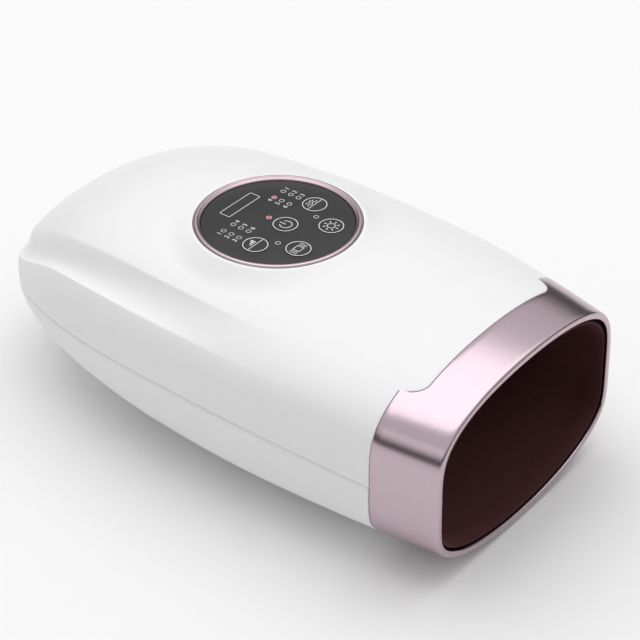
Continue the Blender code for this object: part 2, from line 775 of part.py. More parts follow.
def panel_seat():
    """Raised round seat that flows from the panel's rim down into the deck."""
    rim = BEZEL_RADIUS + GAP + SEAT_RIM_WIDTH
    blend_shares = (0.0, 0.25, 0.60, 1.0)
    rings = []
    for radius in [rim + SEAT_BLEND_WIDTH * share for share in blend_shares]:
        ring = []
        for step in range(PANEL_SEGMENTS):
            turn = math.tau * step / PANEL_SEGMENTS
            x = radius * math.sin(turn)
            y = PANEL_AT + radius * math.cos(turn)
            fall = max(0.0, (radius - rim) / SEAT_BLEND_WIDTH)
            deck = skin_height(x, y) - GAP * fall
            height = deck + (PANEL_RIM_HEIGHT - deck) * (1.0 - fall) ** 2
            bottom = deck - SHELL_WALL / 2
            if fall == 0.0:
                bottom = min(bottom, PANEL_RIM_HEIGHT - SEAT_DEPTH)
            ring.append((Vector((x, y, height)), Vector((x, y, bottom))))
        rings.append(ring)

    def fill(bm):
        top = [[bm.verts.new(pair[0]) for pair in ring] for ring in rings]
        bottom = [[bm.verts.new(pair[1]) for pair in ring] for ring in (rings[0], rings[-1])]
        count = PANEL_SEGMENTS
        for skins in (top, bottom):
            bm.faces.new(skins[0])
            for near, far in zip(skins, skins[1:]):
                for index in range(count):
                    after = (index + 1) % count
                    bm.faces.new((near[index], near[after], far[after], far[index]))
        for index in range(count):
            after = (index + 1) % count
            bm.faces.new((top[-1][index], top[-1][after], bottom[-1][after], bottom[-1][index]))
        bmesh.ops.recalc_face_normals(bm, faces=bm.faces)
    return new_object("panel_seat", fill)


def ledge_height():
    return PANEL_RIM_HEIGHT - LEDGE_DEPTH


def ledge_hole_radius():
    return BEZEL_RADIUS - BEZEL_WIDTH - GAP - LEDGE_WIDTH


def board_top():
    return ledge_height() - BOARD_DROP


def small_screw_base():
    """Height of the underside of the control board's screw heads."""
    return board_top() - BOARD_THICKNESS - GAP - SMALL_SCREW_HEAD_HEIGHT


def small_screw_tip():
    return small_screw_base() + SMALL_SCREW_HEAD_HEIGHT + SMALL_SCREW_LENGTH


def board_boss_places():
    places = []
    for angle in BOARD_BOSS_ANGLES:
        turn = math.radians(angle)
        x = BOARD_BOSS_CIRCLE * math.cos(turn)
        places.append((x, PANEL_AT + BOARD_BOSS_CIRCLE * math.sin(turn)))
    return places


def build_upper_shell():
    shell = thicken(sheet("upper_shell", top_skin_rows()), SHELL_WALL)
    combine(shell, panel_seat(), "UNION")
    combine(shell, rear_posts("upper_rear_posts", upper=True), "UNION")
    through = (ledge_hole_radius(), ledge_height() - SEAT_DEPTH, PANEL_RIM_HEIGHT + CUT_OVERRUN)
    counterbore = (BEZEL_RADIUS + GAP, ledge_height(), PANEL_RIM_HEIGHT + CUT_OVERRUN)
    items = []
    for radius, low, high in (through, counterbore):
        items.append((radius, (0.0, PANEL_AT, low), (0.0, PANEL_AT, high), PANEL_SEGMENTS))
    combine(shell, cylinders("panel_hole", items[:1]), "DIFFERENCE")
    combine(shell, cylinders("panel_counterbore", items[1:]), "DIFFERENCE")
    bosses = []
    pilots = []
    for x, y in board_boss_places():
        low = board_top() + GAP
        bosses.append((BOARD_BOSS_RADIUS, (x, y, low), (x, y, ledge_height() - LEDGE_WIDTH / 2),
                       ROUND_SEGMENTS))
        pilots.append((SMALL_SCREW_RADIUS + GAP, (x, y, low - CUT_OVERRUN),
                       (x, y, small_screw_tip() + GAP), ROUND_SEGMENTS))
    combine(shell, cylinders("board_bosses", bosses), "UNION")
    combine(shell, cylinders("board_pilots", pilots), "DIFFERENCE")
    pilot = SCREW_RADIUS + GAP
    items = []
    for x in (-REAR_SCREW_ACROSS, REAR_SCREW_ACROSS):
        low = seam_height(REAR_SCREW_AT) - CUT_OVERRUN
        high = rear_screw_seat() + SCREW_SHANK + CUT_OVERRUN
        items.append((pilot, (x, REAR_SCREW_AT, low), (x, REAR_SCREW_AT, high), ROUND_SEGMENTS))
    combine(shell, cylinders("upper_pilot_holes", items), "DIFFERENCE")
    smooth_round(shell)
    add_part(shell, material("gloss_white", WHITE, 0.22))


def rear_screw_seat():
    """Height of the floor on which the rear screws' heads bear."""
    return seam_height(REAR_SCREW_AT) - SEAM_GAP / 2 - REAR_POST_FLOOR


def rear_posts(name, upper):
    """Two posts at the rear, trimmed to the inside of the shells' walls."""
    split = seam_height(REAR_SCREW_AT)
    start = split + SEAM_GAP / 2 if upper else 0.0
    end = CROWN_HEIGHT if upper else split - SEAM_GAP / 2
    items = []
    for x in (-REAR_SCREW_ACROSS, REAR_SCREW_ACROSS):
        items.append((POST_RADIUS, (x, REAR_SCREW_AT, start), (x, REAR_SCREW_AT, end),
                      ROUND_SEGMENTS))
    posts = cylinders(name, items)
    return combine(posts, core_solid(name + "_trim"), "INTERSECT")


def foot_places():
    return [(x, y) for y in FOOT_ALONG for x in (-FOOT_ACROSS, FOOT_ACROSS)]


def chamber_screw_places():
    across = CHAMBER_SCREW_ACROSS
    return [(x, y) for y in CHAMBER_SCREW_ALONG for x in (-across, across)]


def chamber_screw_seat(x, y):
    """Height on which a chamber screw's head bears, sunk into the lower shell."""
    return keel_skin_height(x, y) + SCREW_HEAD_HEIGHT * 2.0


def chamber_post_foot(x, y):
    return chamber_screw_seat(x, y) + SHELL_WALL + GAP


def tray_bottom():
    return CELL_HEIGHT - CELL_RADIUS - GAP - TRAY_WALL


def tray_post_places():
    across = CELL_LENGTH / 2 - BOARD_POST_RADIUS
    along = CELL_PITCH / 2 + CELL_RADIUS / 2
    return [(x, CELL_AT + y) for y in (-along, along) for x in (-across, across)]


def lower_shell_posts():
    """Posts for the chamber's screws and the battery tray, trimmed to the wall."""
    items = []
    for x, y in chamber_screw_places():
        top = chamber_screw_seat(x, y) + SHELL_WALL
        items.append((POST_RADIUS, (x, y, 0.0), (x, y, top), ROUND_SEGMENTS))
    for x, y in tray_post_places():
        items.append((BOARD_POST_RADIUS, (x, y, 0.0), (x, y, tray_bottom() - GAP),
                      ROUND_SEGMENTS))
    posts = cylinders("lower_posts", items)
    return combine(posts, core_solid("lower_posts_trim"), "INTERSECT")


def foot_pads():
    """Moulded pads under the lower shell, which hold the rubber feet."""
    radius = FOOT_RADIUS + GAP + FOOT_PAD_WIDTH
    low = FOOT_THICKNESS + GAP - FOOT_RECESS

    def fill(bm):
        for x, y in foot_places():
            high = keel_skin_height(x, y) + SHELL_WALL
            fill_cylinder(bm, radius, (x, y, low), (x, y, high + FOOT_PAD_WIDTH),
                          FOOT_SEGMENTS, radius + FOOT_PAD_WIDTH)
    pads = new_object("foot_pads", fill)
    return combine(pads, core_solid("foot_pads_trim"), "DIFFERENCE")


def inlet_pocket_block():
    wall = INLET_POCKET_WALL
    start = INLET_FACE_AT - wall
    length = BODY_LENGTH - start + CUT_OVERRUN
    size = (INLET_POCKET_WIDTH + 2.0 * wall, length, INLET_POCKET_HEIGHT + 2.0 * wall)
    block = box("inlet_pocket_block", size, (0.0, start + length / 2, INLET_HEIGHT))
    return combine(block, core_solid("inlet_pocket_trim"), "INTERSECT")


def build_lower_shell():
    shell = thicken(sheet("lower_shell", keel_skin_rows(), flip=True), SHELL_WALL)
    combine(shell, rear_posts("lower_rear_posts", upper=False), "UNION")
    combine(shell, lower_shell_posts(), "UNION")
    combine(shell, foot_pads(), "UNION")
    combine(shell, inlet_pocket_block(), "UNION")
    wells = []
    holes = []
    for x in (-REAR_SCREW_ACROSS, REAR_SCREW_ACROSS):
        wells.append((x, REAR_SCREW_AT, rear_screw_seat(), seam_height(REAR_SCREW_AT)))
    for x, y in chamber_screw_places():
        wells.append((x, y, chamber_screw_seat(x, y), chamber_post_foot(x, y)))
    for x, y, seat, top in wells:
        holes.append((SCREW_HOLE_RADIUS, (x, y, seat - CUT_OVERRUN), (x, y, top + CUT_OVERRUN),
                      ROUND_SEGMENTS))
    items = [(SCREW_WELL_RADIUS, (x, y, 0.0), (x, y, seat), ROUND_SEGMENTS)
             for x, y, seat, top in wells]
    combine(shell, cylinders("screw_wells", items), "DIFFERENCE")
    combine(shell, cylinders("screw_holes", holes), "DIFFERENCE")
    recess_top = FOOT_THICKNESS + GAP
    items = [(FOOT_RADIUS + GAP, (x, y, 0.0), (x, y, recess_top), FOOT_SEGMENTS)
             for x, y in foot_places()]
    combine(shell, cylinders("foot_recesses", items), "DIFFERENCE")
    length = BODY_LENGTH - INLET_FACE_AT + CUT_OVERRUN
    pocket = box("inlet_pocket", (INLET_POCKET_WIDTH, length, INLET_POCKET_HEIGHT),
                 (0.0, INLET_FACE_AT + length / 2, INLET_HEIGHT))
    combine(shell, pocket, "DIFFERENCE")
    size = (INLET_WIDTH + 2.0 * GAP, INLET_LENGTH, INLET_TALL + 2.0 * GAP)
    hole = box("inlet_hole", size, (0.0, INLET_FACE_AT, INLET_HEIGHT))
    combine(shell, hole, "DIFFERENCE")
    smooth_round(shell)
    add_part(shell, material("gloss_white", WHITE, 0.22))


# Collar, liner frame and hand chamber

def collar_edges():
    """Collar depth at each point of a full ring."""
    half = top_column_edges()
    top = half[:0:-1] + half
    keel_count = 2 * (len(KEEL_SHARES) + len(BILGE_SHARES)) - 3
    return top + [COLLAR_SIDE_DEPTH] * keel_count


def edge_ring(shift):
    """Full ring that follows the collar's rear edge."""
    points = []
    for index, depth in enumerate(collar_edges()):
        points.append(full_ring(depth + shift, 0.0, 0.0, 0.0)[index])
    return points


def drawn_in(ring, depth):
    """Ring moved inwards by depth, square to its own outline seen from the mouth."""
    found = []
    for index, point in enumerate(ring):
        along = ring[(index + 1) % len(ring)] - ring[index - 1]
        inward = Vector((along.z, 0.0, -along.x)).normalized()
        found.append(point + inward * depth)
    return found


def build_collar():
    round_over = COLLAR_LIP_ROUND

    def ring(y, inset):
        return drawn_in(full_ring(y, 0.0, 0.0, 0.0), inset)

    edge = edge_ring(-GAP / 2)
    rings = [edge, ring(round_over, 0.0), ring(round_over * 0.3, round_over * 0.3),
             ring(0.0, round_over), ring(0.0, COLLAR_LIP - round_over),
             ring(round_over, COLLAR_LIP), ring(COLLAR_LIP_DEPTH, COLLAR_LIP),
             ring(COLLAR_LIP_DEPTH, COLLAR_WALL), drawn_in(edge, COLLAR_WALL)]
    collar = closed_loft("front_collar", rings, closed_along=True)
    smooth_round(collar)
    add_part(collar, material("rose_metal", ROSE_METAL, 0.25, 0.85))


def frame_rear():
    return COLLAR_SIDE_DEPTH + FRAME_REACH


def chamber_start():
    return frame_rear() + GAP


def build_liner_frame():
    front = COLLAR_LIP_DEPTH + GAP
    rear = frame_rear()
    outer = COLLAR_WALL + GAP
    inner = outer + FRAME_WALL
    side = CHAMBER_SIDE_INSET + CHAMBER_WALL
    top = CHAMBER_TOP_INSET + CHAMBER_WALL
    keel = CHAMBER_KEEL_INSET + CHAMBER_WALL
    flange = rear - FRAME_WALL
    rings = [full_ring(front, outer, outer, outer), full_ring(rear, outer, outer, outer),
             full_ring(rear, side, top, keel), full_ring(flange, side, top, keel),
             full_ring(flange, inner, inner, inner), full_ring(front, inner, inner, inner)]
    frame = closed_loft("liner_frame", rings, closed_along=True)
    add_part(frame, material("frame_plastic", FRAME_GREY, 0.55))


def chamber_rows(sign, top_inset):
    rows = []
    count = 4
    for index in range(count):
        y = between(chamber_start(), CHAMBER_END, index / (count - 1))
        half = plain_half(y, CHAMBER_SIDE_INSET, top_inset, sign, seam_clear=SEAM_GAP / 2)
        rows.append(mirrored(half))
    return rows


def build_chamber():
    upper = sheet("upper_chamber", chamber_rows(1.0, CHAMBER_TOP_INSET))
    thicken(upper, CHAMBER_WALL)
    add_part(upper, material("frame_plastic", FRAME_GREY, 0.55))
    lower = sheet("lower_chamber", chamber_rows(-1.0, CHAMBER_KEEL_INSET), flip=True)
    thicken(lower, CHAMBER_WALL)
    posts = []
    pilots = []
    for x, y in chamber_screw_places():
        foot = chamber_post_foot(x, y)
        skin = keel_skin_height(x, y, CHAMBER_KEEL_INSET)
        posts.append((CHAMBER_POST_RADIUS, (x, y, foot), (x, y, skin + CHAMBER_WALL / 2),
                      ROUND_SEGMENTS))
        pilot_top = chamber_screw_seat(x, y) + CHAMBER_SCREW_SHANK + GAP
        pilots.append((SCREW_RADIUS + GAP, (x, y, foot - CUT_OVERRUN), (x, y, pilot_top),
                       ROUND_SEGMENTS))
    combine(lower, cylinders("chamber_posts", posts), "UNION")
    combine(lower, cylinders("chamber_pilots", pilots), "DIFFERENCE")
    add_part(lower, material("frame_plastic", FRAME_GREY, 0.55))


def end_plate_front():
    return CHAMBER_END + GAP


def shelf_top():
    return SHELF_HEIGHT + SHELF_THICKNESS


def build_end_bracket():
    """Plate that closes the chamber's rear end, with the shelf for the air parts."""
    front = end_plate_front()
    rear = front + END_PLATE_THICKNESS
    side = CHAMBER_SIDE_INSET - END_PLATE_MARGIN
    top = CHAMBER_TOP_INSET - END_PLATE_MARGIN
    keel = CHAMBER_KEEL_INSET - END_PLATE_MARGIN
    outline = plain_ring(front, side, top, keel)
    rings = [outline, [Vector((point.x, rear, point.z)) for point in outline]]
    plate = closed_loft("end_bracket", rings)
    length = SHELF_LENGTH + END_PLATE_THICKNESS / 2
    middle = rear - END_PLATE_THICKNESS / 2 + length / 2

    def fill(bm):
        fill_box(bm, (SHELF_WIDTH, length, SHELF_THICKNESS),
                 (0.0, middle, SHELF_HEIGHT + SHELF_THICKNESS / 2))
    combine(plate, new_object("shelf", fill), "UNION")
    web_rise = (SHELF_HEIGHT - MAIN_BOARD_HEIGHT) / 2
    for side_sign in (-1.0, 1.0):
        web = box("shelf_web", (SHELF_WEB, length, web_rise + SHELF_THICKNESS / 2),
                  (side_sign * (SHELF_WIDTH - SHELF_WEB) / 2, middle,
                   SHELF_HEIGHT + (SHELF_THICKNESS / 2 - web_rise) / 2))
        combine(plate, web, "UNION")
    slot = box("ribbon_slot", (RIBBON_WIDTH + 4.0 * RIBBON_CLEAR, RIBBON_SLOT, SHELF_THICKNESS * 3.0),
               (0.0, rear + RIBBON_SLOT / 2 + RIBBON_CLEAR, SHELF_HEIGHT))
    combine(plate, slot, "DIFFERENCE")
    hole = cylinder("hose_hole", HOSE_RADIUS + GAP,
                    (VALVE_ACROSS, front - CUT_OVERRUN, bladder_port_height()),
                    (VALVE_ACROSS, rear + CUT_OVERRUN, bladder_port_height()))
    combine(plate, hole, "DIFFERENCE")
    add_part(plate, material("frame_plastic", FRAME_GREY, 0.55))


# Soft and pressed pieces inside the chamber

def lining_side_inset():
    return CHAMBER_SIDE_INSET + CHAMBER_WALL + SOFT_CLEAR


def slab(name, start, end, half_reach, inset, thickness, sign, crowned):
    """Solid that lies along the chamber's roof (sign 1) or floor (sign -1).

    It is as thick as it is in its middle and, where crowned, thinner to its edges.
    """
    edge_thickness = 0.35 if crowned else 1.0
    along_shares = (0.0, 0.04, 0.14, 0.50, 0.86, 0.96, 1.0) if crowned else (0.0, 0.5, 1.0)
    across_shares = (0.0, 0.45, 0.84, 0.95, 1.0) if crowned else (0.0, 0.40, 0.75, 1.0)
    rows = [-share for share in across_shares[:0:-1]] + list(across_shares)

    def surface(x, y, depth):
        across = x / (half_width(y) - lining_side_inset())
        up = unit_height(across, section_power(y)) * sign
        return skin_point(y, across, up, lining_side_inset(), inset + depth)

    def thickness_at(along, across):
        if not crowned:
            return thickness
        edge = (1.0 - abs(2.0 * along - 1.0) ** 8) * (1.0 - abs(across) ** 8)
        return thickness * between(edge_thickness, 1.0, edge)

    def fill(bm):
        outer = []
        inner = []
        for along in along_shares:
            y = between(start, end, along)
            outer.append([])
            inner.append([])
            for across in rows:
                deep = thickness_at(along, across)
                margin = (thickness - deep) / 2
                x = across * half_reach
                outer[-1].append(bm.verts.new(surface(x, y, margin)))
                inner[-1].append(bm.verts.new(surface(x, y, margin + deep)))
        for grid in (outer, inner):
            for near, far in zip(grid, grid[1:]):
                for index in range(len(near) - 1):
                    bm.faces.new((near[index], near[index + 1], far[index + 1], far[index]))
        for index in range(len(rows) - 1):
            for end_row in (0, -1):
                bm.faces.new((outer[end_row][index], outer[end_row][index + 1],
                              inner[end_row][index + 1], inner[end_row][index]))
        for index in range(len(along_shares) - 1):
            for side in (0, -1):
                bm.faces.new((outer[index][side], outer[index + 1][side],
                              inner[index + 1][side], inner[index][side]))
        bmesh.ops.recalc_face_normals(bm, faces=bm.faces)
    return new_object(name, fill)


def bladder_inset():
    return CHAMBER_TOP_INSET + CHAMBER_WALL + SOFT_CLEAR


def press_pad_inset():
    return bladder_inset() + BLADDER_THICKNESS + GAP


def foam_inset():
    return CHAMBER_KEEL_INSET + CHAMBER_WALL + SOFT_CLEAR


def heater_inset():
    return foam_inset() + FOAM_THICKNESS + GAP


def bladder_port_height():
    """Height of the middle of the bladder's rear edge where the hose meets it."""
    across = VALVE_ACROSS / (half_width(BLADDER_END) - lining_side_inset())
    up = unit_height(across, section_power(BLADDER_END))
    inset = bladder_inset() + BLADDER_THICKNESS / 2
    return skin_point(BLADDER_END, across, up, lining_side_inset(), inset).z


def build_soft_parts():
    bladder = slab("upper_air_bladder", BLADDER_START, BLADDER_END, BLADDER_HALF_WIDTH,
                   bladder_inset(), BLADDER_THICKNESS, 1.0, crowned=True)
    add_part(bladder, material("bladder_film", BLADDER_GREY, 0.5))
    pad = slab("press_pad", PRESS_PAD_START, PRESS_PAD_END, PRESS_PAD_HALF_WIDTH,
               press_pad_inset(), PRESS_PAD_THICKNESS, 1.0, crowned=False)
    add_part(pad, material("foam", FOAM_GREY, 0.9))
    foam = slab("lower_foam_pad", FOAM_START, FOAM_END, FOAM_HALF_WIDTH,
                foam_inset(), FOAM_THICKNESS, -1.0, crowned=True)
    add_part(foam, material("foam", FOAM_GREY, 0.9))
    heater = slab("heating_pad", HEATER_START, HEATER_END, HEATER_HALF_WIDTH,
                  heater_inset(), HEATER_THICKNESS, -1.0, crowned=False)
    add_part(heater, material("heater_film", HEATER_AMBER, 0.5))


def liner_insets(y):
    """Side, top and keel insets of the liner's outer face."""
    mouth = COLLAR_LIP + SOFT_CLEAR
    behind_lip = COLLAR_WALL + FRAME_WALL + GAP + SOFT_CLEAR
    start = between(mouth, behind_lip, ease(y, COLLAR_LIP_ROUND, COLLAR_LIP_DEPTH))
    side = lining_side_inset()
    top = press_pad_inset() + PRESS_PAD_THICKNESS + SOFT_CLEAR
    keel = heater_inset() + HEATER_THICKNESS + SOFT_CLEAR
    flange = frame_rear() - FRAME_WALL - GAP
    narrow = ease(y, COLLAR_LIP_DEPTH, flange)
    settle = ease(y, COLLAR_LIP_DEPTH, LINER_SETTLES_AT)
    return between(start, side, narrow), between(start, top, settle), between(start, keel, settle)


def build_liner():
    """Fabric sock: open at the mouth and closed at the fingertips."""
    first = COLLAR_LIP_ROUND + GAP
    depths = [first, COLLAR_LIP_DEPTH]
    steps = 3
    depths += [between(COLLAR_LIP_DEPTH, LINER_SETTLES_AT, (index + 1) / steps)
               for index in range(steps)]
    steps = 2
    depths += [between(LINER_SETTLES_AT, LINER_END, (index + 1) / steps) for index in range(steps)]
    outer = []
    inner = []
    for y in depths:
        side, top, keel = liner_insets(y)
        outer.append(plain_ring(y, side, top, keel))
        inner_y = min(y, LINER_END - LINER_WALL)
        wall = LINER_WALL
        inner.append(plain_ring(inner_y, side + wall, top + wall, keel + wall))

    def fill(bm):
        outside = [[bm.verts.new(point) for point in ring] for ring in outer]
        inside = [[bm.verts.new(point) for point in ring] for ring in inner]
        count = len(outside[0])
        for skins in (outside, inside):
            bm.faces.new(skins[-1])
            for near, far in zip(skins, skins[1:]):
                for index in range(count):
                    after = (index + 1) % count
                    bm.faces.new((near[index], near[after], far[after], far[index]))
        for index in range(count):
            after = (index + 1) % count
            bm.faces.new((outside[0][index], outside[0][after], inside[0][after], inside[0][index]))
        bmesh.ops.recalc_face_normals(bm, faces=bm.faces)
    liner = new_object("fabric_liner", fill)
    add_part(liner, material("burgundy_fabric", BURGUNDY, 0.85))


# Control panel

def key_places():
    """Name and plan place of each key, counted from the panel's middle."""
    return {"power_button": (0.0, KEY_ROW_OFFSET),
            "mode_button": (KEY_SIDE_PITCH, KEY_ROW_OFFSET),
            "strength_button": (-KEY_SIDE_PITCH, KEY_ROW_OFFSET),
            "heat_button": (KEY_LOWER_PITCH, KEY_LOWER_OFFSET),
            "vibration_button": (-KEY_LOWER_PITCH, KEY_LOWER_OFFSET)}


def single_lamp_places():
    return [(0.0, POWER_LAMP_OFFSET), (MODE_LAMP_ACROSS, MODE_LAMP_OFFSET),
            (-MODE_LAMP_ACROSS, MODE_LAMP_OFFSET)]


def lamp_columns():
    """Places across the panel of the four columns of three lamps."""
    half_pitch = LAMP_COLUMN_PITCH / 2
    return [side * LAMP_GROUP_OFFSET + column
            for side in (-1.0, 1.0) for column in (-half_pitch, half_pitch)]


def lamp_places():
    places = single_lamp_places()
    for x in lamp_columns():
        for row in range(3):
            places.append((x, LAMP_TOP_ROW - row * LAMP_ROW_PITCH))
    return places


def lens_bottom():
    return ledge_height() + GAP


def lens_top():
    return lens_bottom() + LENS_THICKNESS


def build_bezel():
    inner = BEZEL_RADIUS - BEZEL_WIDTH
    bottom = ledge_height() + GAP
    top = PANEL_RIM_HEIGHT + BEZEL_STANDS
    chamfer = BEZEL_CHAMFER
    profile = [(inner, top - chamfer), (inner + chamfer, top), (BEZEL_RADIUS - chamfer, top),
               (BEZEL_RADIUS - chamfer * 0.3, top - chamfer * 0.3),
               (BEZEL_RADIUS, top - chamfer), (BEZEL_RADIUS, bottom), (inner, bottom)]
    profile = [(radius, height - bottom) for radius, height in profile]
    bezel = turned("panel_bezel", profile, (0.0, PANEL_AT, bottom), PANEL_SEGMENTS, closed=True)
    add_part(bezel, material("rose_metal", ROSE_METAL, 0.25, 0.85))


def build_lens():
    radius = BEZEL_RADIUS - BEZEL_WIDTH - GAP
    lens = cylinder("panel_lens", radius, (0.0, PANEL_AT, lens_bottom()),
                    (0.0, PANEL_AT, lens_top()), PANEL_SEGMENTS)
    low = lens_bottom() - CUT_OVERRUN
    high = lens_top() + CUT_OVERRUN
    items = []
    for x, y in key_places().values():
        items.append((KEY_RADIUS + GAP, (x, PANEL_AT + y, low), (x, PANEL_AT + y, high),
                      KEY_SEGMENTS))
    for x, y in lamp_places():
        items.append((LAMP_WINDOW_RADIUS, (x, PANEL_AT + y, low), (x, PANEL_AT + y, high),
                      LAMP_SEGMENTS))
    combine(lens, cylinders("lens_holes", items), "DIFFERENCE")
    add_part(lens, material("panel_black", PANEL_BLACK, 0.18))


def key_flange_radius():
    return KEY_RADIUS + KEY_FLANGE_WIDTH


def build_keys():
    """Push keys: a cap through the lens, a flange under it and a stem to the switch."""
    cap_top = lens_top() + KEY_STANDS
    flange_top = lens_bottom() - GAP
    flange_bottom = flange_top - KEY_FLANGE_THICKNESS
    stem_bottom = board_top() + SWITCH_HEIGHT + PLUNGER_HEIGHT + KEY_TRAVEL + GAP
    for name, (x, y) in key_places().items():
        profile = [(0.0, cap_top), (KEY_RADIUS, cap_top),
                   (KEY_RADIUS, flange_top), (key_flange_radius(), flange_top),
                   (key_flange_radius(), flange_bottom), (KEY_STEM_RADIUS, flange_bottom),
                   (KEY_STEM_RADIUS, stem_bottom), (0.0, stem_bottom)]
        profile = [(radius, height - cap_top) for radius, height in profile]
        key = turned(name, profile, (x, PANEL_AT + y, cap_top), KEY_SEGMENTS)
        add_part(key, material("key_grey", KEY_GREY, 0.3))


def build_light_guide():
    """Clear disc under the lens, with a post up into each lamp window."""
    top = lens_bottom() - GAP
    bottom = top - GUIDE_THICKNESS
    guide = cylinder("led_light_guide", ledge_hole_radius() - GAP, (0.0, PANEL_AT, bottom),
                     (0.0, PANEL_AT, top), PANEL_SEGMENTS // 2)
    posts = []
    for x, y in lamp_places():
        posts.append((LAMP_POST_RADIUS, (x, PANEL_AT + y, bottom + GUIDE_THICKNESS / 2),
                      (x, PANEL_AT + y, lens_top() - GAP), LAMP_SEGMENTS))
    combine(guide, cylinders("guide_posts", posts), "UNION")
    items = []
    for x, y in key_places().values():
        items.append((key_flange_radius() + 2.0 * GAP, (x, PANEL_AT + y, bottom - CUT_OVERRUN),
                      (x, PANEL_AT + y, top + CUT_OVERRUN), KEY_SEGMENTS))
    combine(guide, cylinders("guide_holes", items), "DIFFERENCE")
    add_part(guide, material("lamp_clear", LAMP_CLEAR, 0.1))


def build_control_board():
    """Round board with a switch under each key and lamps under the light posts."""
    top = board_top()
    bottom = top - BOARD_THICKNESS
    board = cylinder("control_board", BOARD_RADIUS, (0.0, PANEL_AT, bottom), (0.0, PANEL_AT, top),
                     PANEL_SEGMENTS // 2)

    def fill_switches(bm):
        for x, y in key_places().values():
            height = SWITCH_HEIGHT + SWITCH_SINK
            centre = (x, PANEL_AT + y, top - SWITCH_SINK + height / 2)
            fill_box(bm, (SWITCH_SIDE, SWITCH_SIDE, height), centre)
    combine(board, new_object("switches", fill_switches), "UNION")

    def fill_small(bm):
        for x, y in key_places().values():
            low = top + SWITCH_HEIGHT - SWITCH_SINK
            fill_cylinder(bm, PLUNGER_RADIUS, (x, PANEL_AT + y, low),
                          (x, PANEL_AT + y, top + SWITCH_HEIGHT + PLUNGER_HEIGHT), LAMP_SEGMENTS)
        height = LED_HEIGHT + SWITCH_SINK
        for x, y in single_lamp_places():
            centre = (x, PANEL_AT + y, top - SWITCH_SINK + height / 2)
            fill_box(bm, (LED_SIDE, LED_SIDE, height), centre)
        for x in lamp_columns():
            centre = (x, PANEL_AT + LAMP_TOP_ROW - LAMP_ROW_PITCH, top - SWITCH_SINK + height / 2)
            fill_box(bm, (LED_SIDE, 2.0 * LAMP_ROW_PITCH + LED_SIDE, height), centre)
    combine(board, new_object("plungers_and_lamps", fill_small), "UNION")
    holes = []
    for x, y in board_boss_places():
        holes.append((SMALL_SCREW_RADIUS + GAP, (x, y, bottom - CUT_OVERRUN),
                      (x, y, top + CUT_OVERRUN), LAMP_SEGMENTS))
    combine(board, cylinders("board_holes", holes), "DIFFERENCE")
    add_part(board, material("board_green", BOARD_GREEN, 0.5))


def build_screw(name, x, y, head_bottom, shank, radius, head_radius, head_height):
    """Pan-head screw that points up, its head's lower face at head_bottom."""
    profile = [(0.0, head_height + shank), (radius, head_height + shank - radius),
               (radius, head_height), (head_radius, head_height), (head_radius, 0.0), (0.0, 0.0)]
    screw = turned(name, profile, (x, y, head_bottom), SCREW_SEGMENTS)
    add_part(screw, material("screw_steel", STEEL, 0.35, 0.9))


def build_screws():
    for index, (x, y) in enumerate(board_boss_places()):
        build_screw(f"control_board_screw_{index + 1}", x, y, small_screw_base(),
                    SMALL_SCREW_LENGTH, SMALL_SCREW_RADIUS, SMALL_SCREW_HEAD_RADIUS,
                    SMALL_SCREW_HEAD_HEIGHT)
    for index, (x, y) in enumerate(chamber_screw_places()):
        head_bottom = chamber_screw_seat(x, y) - GAP - SCREW_HEAD_HEIGHT
        build_screw(f"chamber_screw_{index + 1}", x, y, head_bottom, CHAMBER_SCREW_SHANK,
                    SCREW_RADIUS, SCREW_HEAD_RADIUS, SCREW_HEAD_HEIGHT)
    for index, x in enumerate((-REAR_SCREW_ACROSS, REAR_SCREW_ACROSS)):
        head_bottom = rear_screw_seat() - GAP - SCREW_HEAD_HEIGHT
        build_screw(f"rear_case_screw_{index + 1}", x, REAR_SCREW_AT, head_bottom, SCREW_SHANK,
                    SCREW_RADIUS, SCREW_HEAD_RADIUS, SCREW_HEAD_HEIGHT)


def build_feet():
    names = ("front_left_foot", "front_right_foot", "rear_left_foot", "rear_right_foot")
    for name, (x, y) in zip(names, foot_places()):
        edge = FOOT_ROUND
        profile = [(0.0, FOOT_THICKNESS), (FOOT_RADIUS, FOOT_THICKNESS), (FOOT_RADIUS, edge),
                   (FOOT_RADIUS - edge, 0.0), (0.0, 0.0)]
        foot = turned(name, profile, (x, y, 0.0), FOOT_SEGMENTS)
        add_part(foot, material("rubber_grey", RUBBER_GREY, 0.85))


# Battery, main board and charging inlet

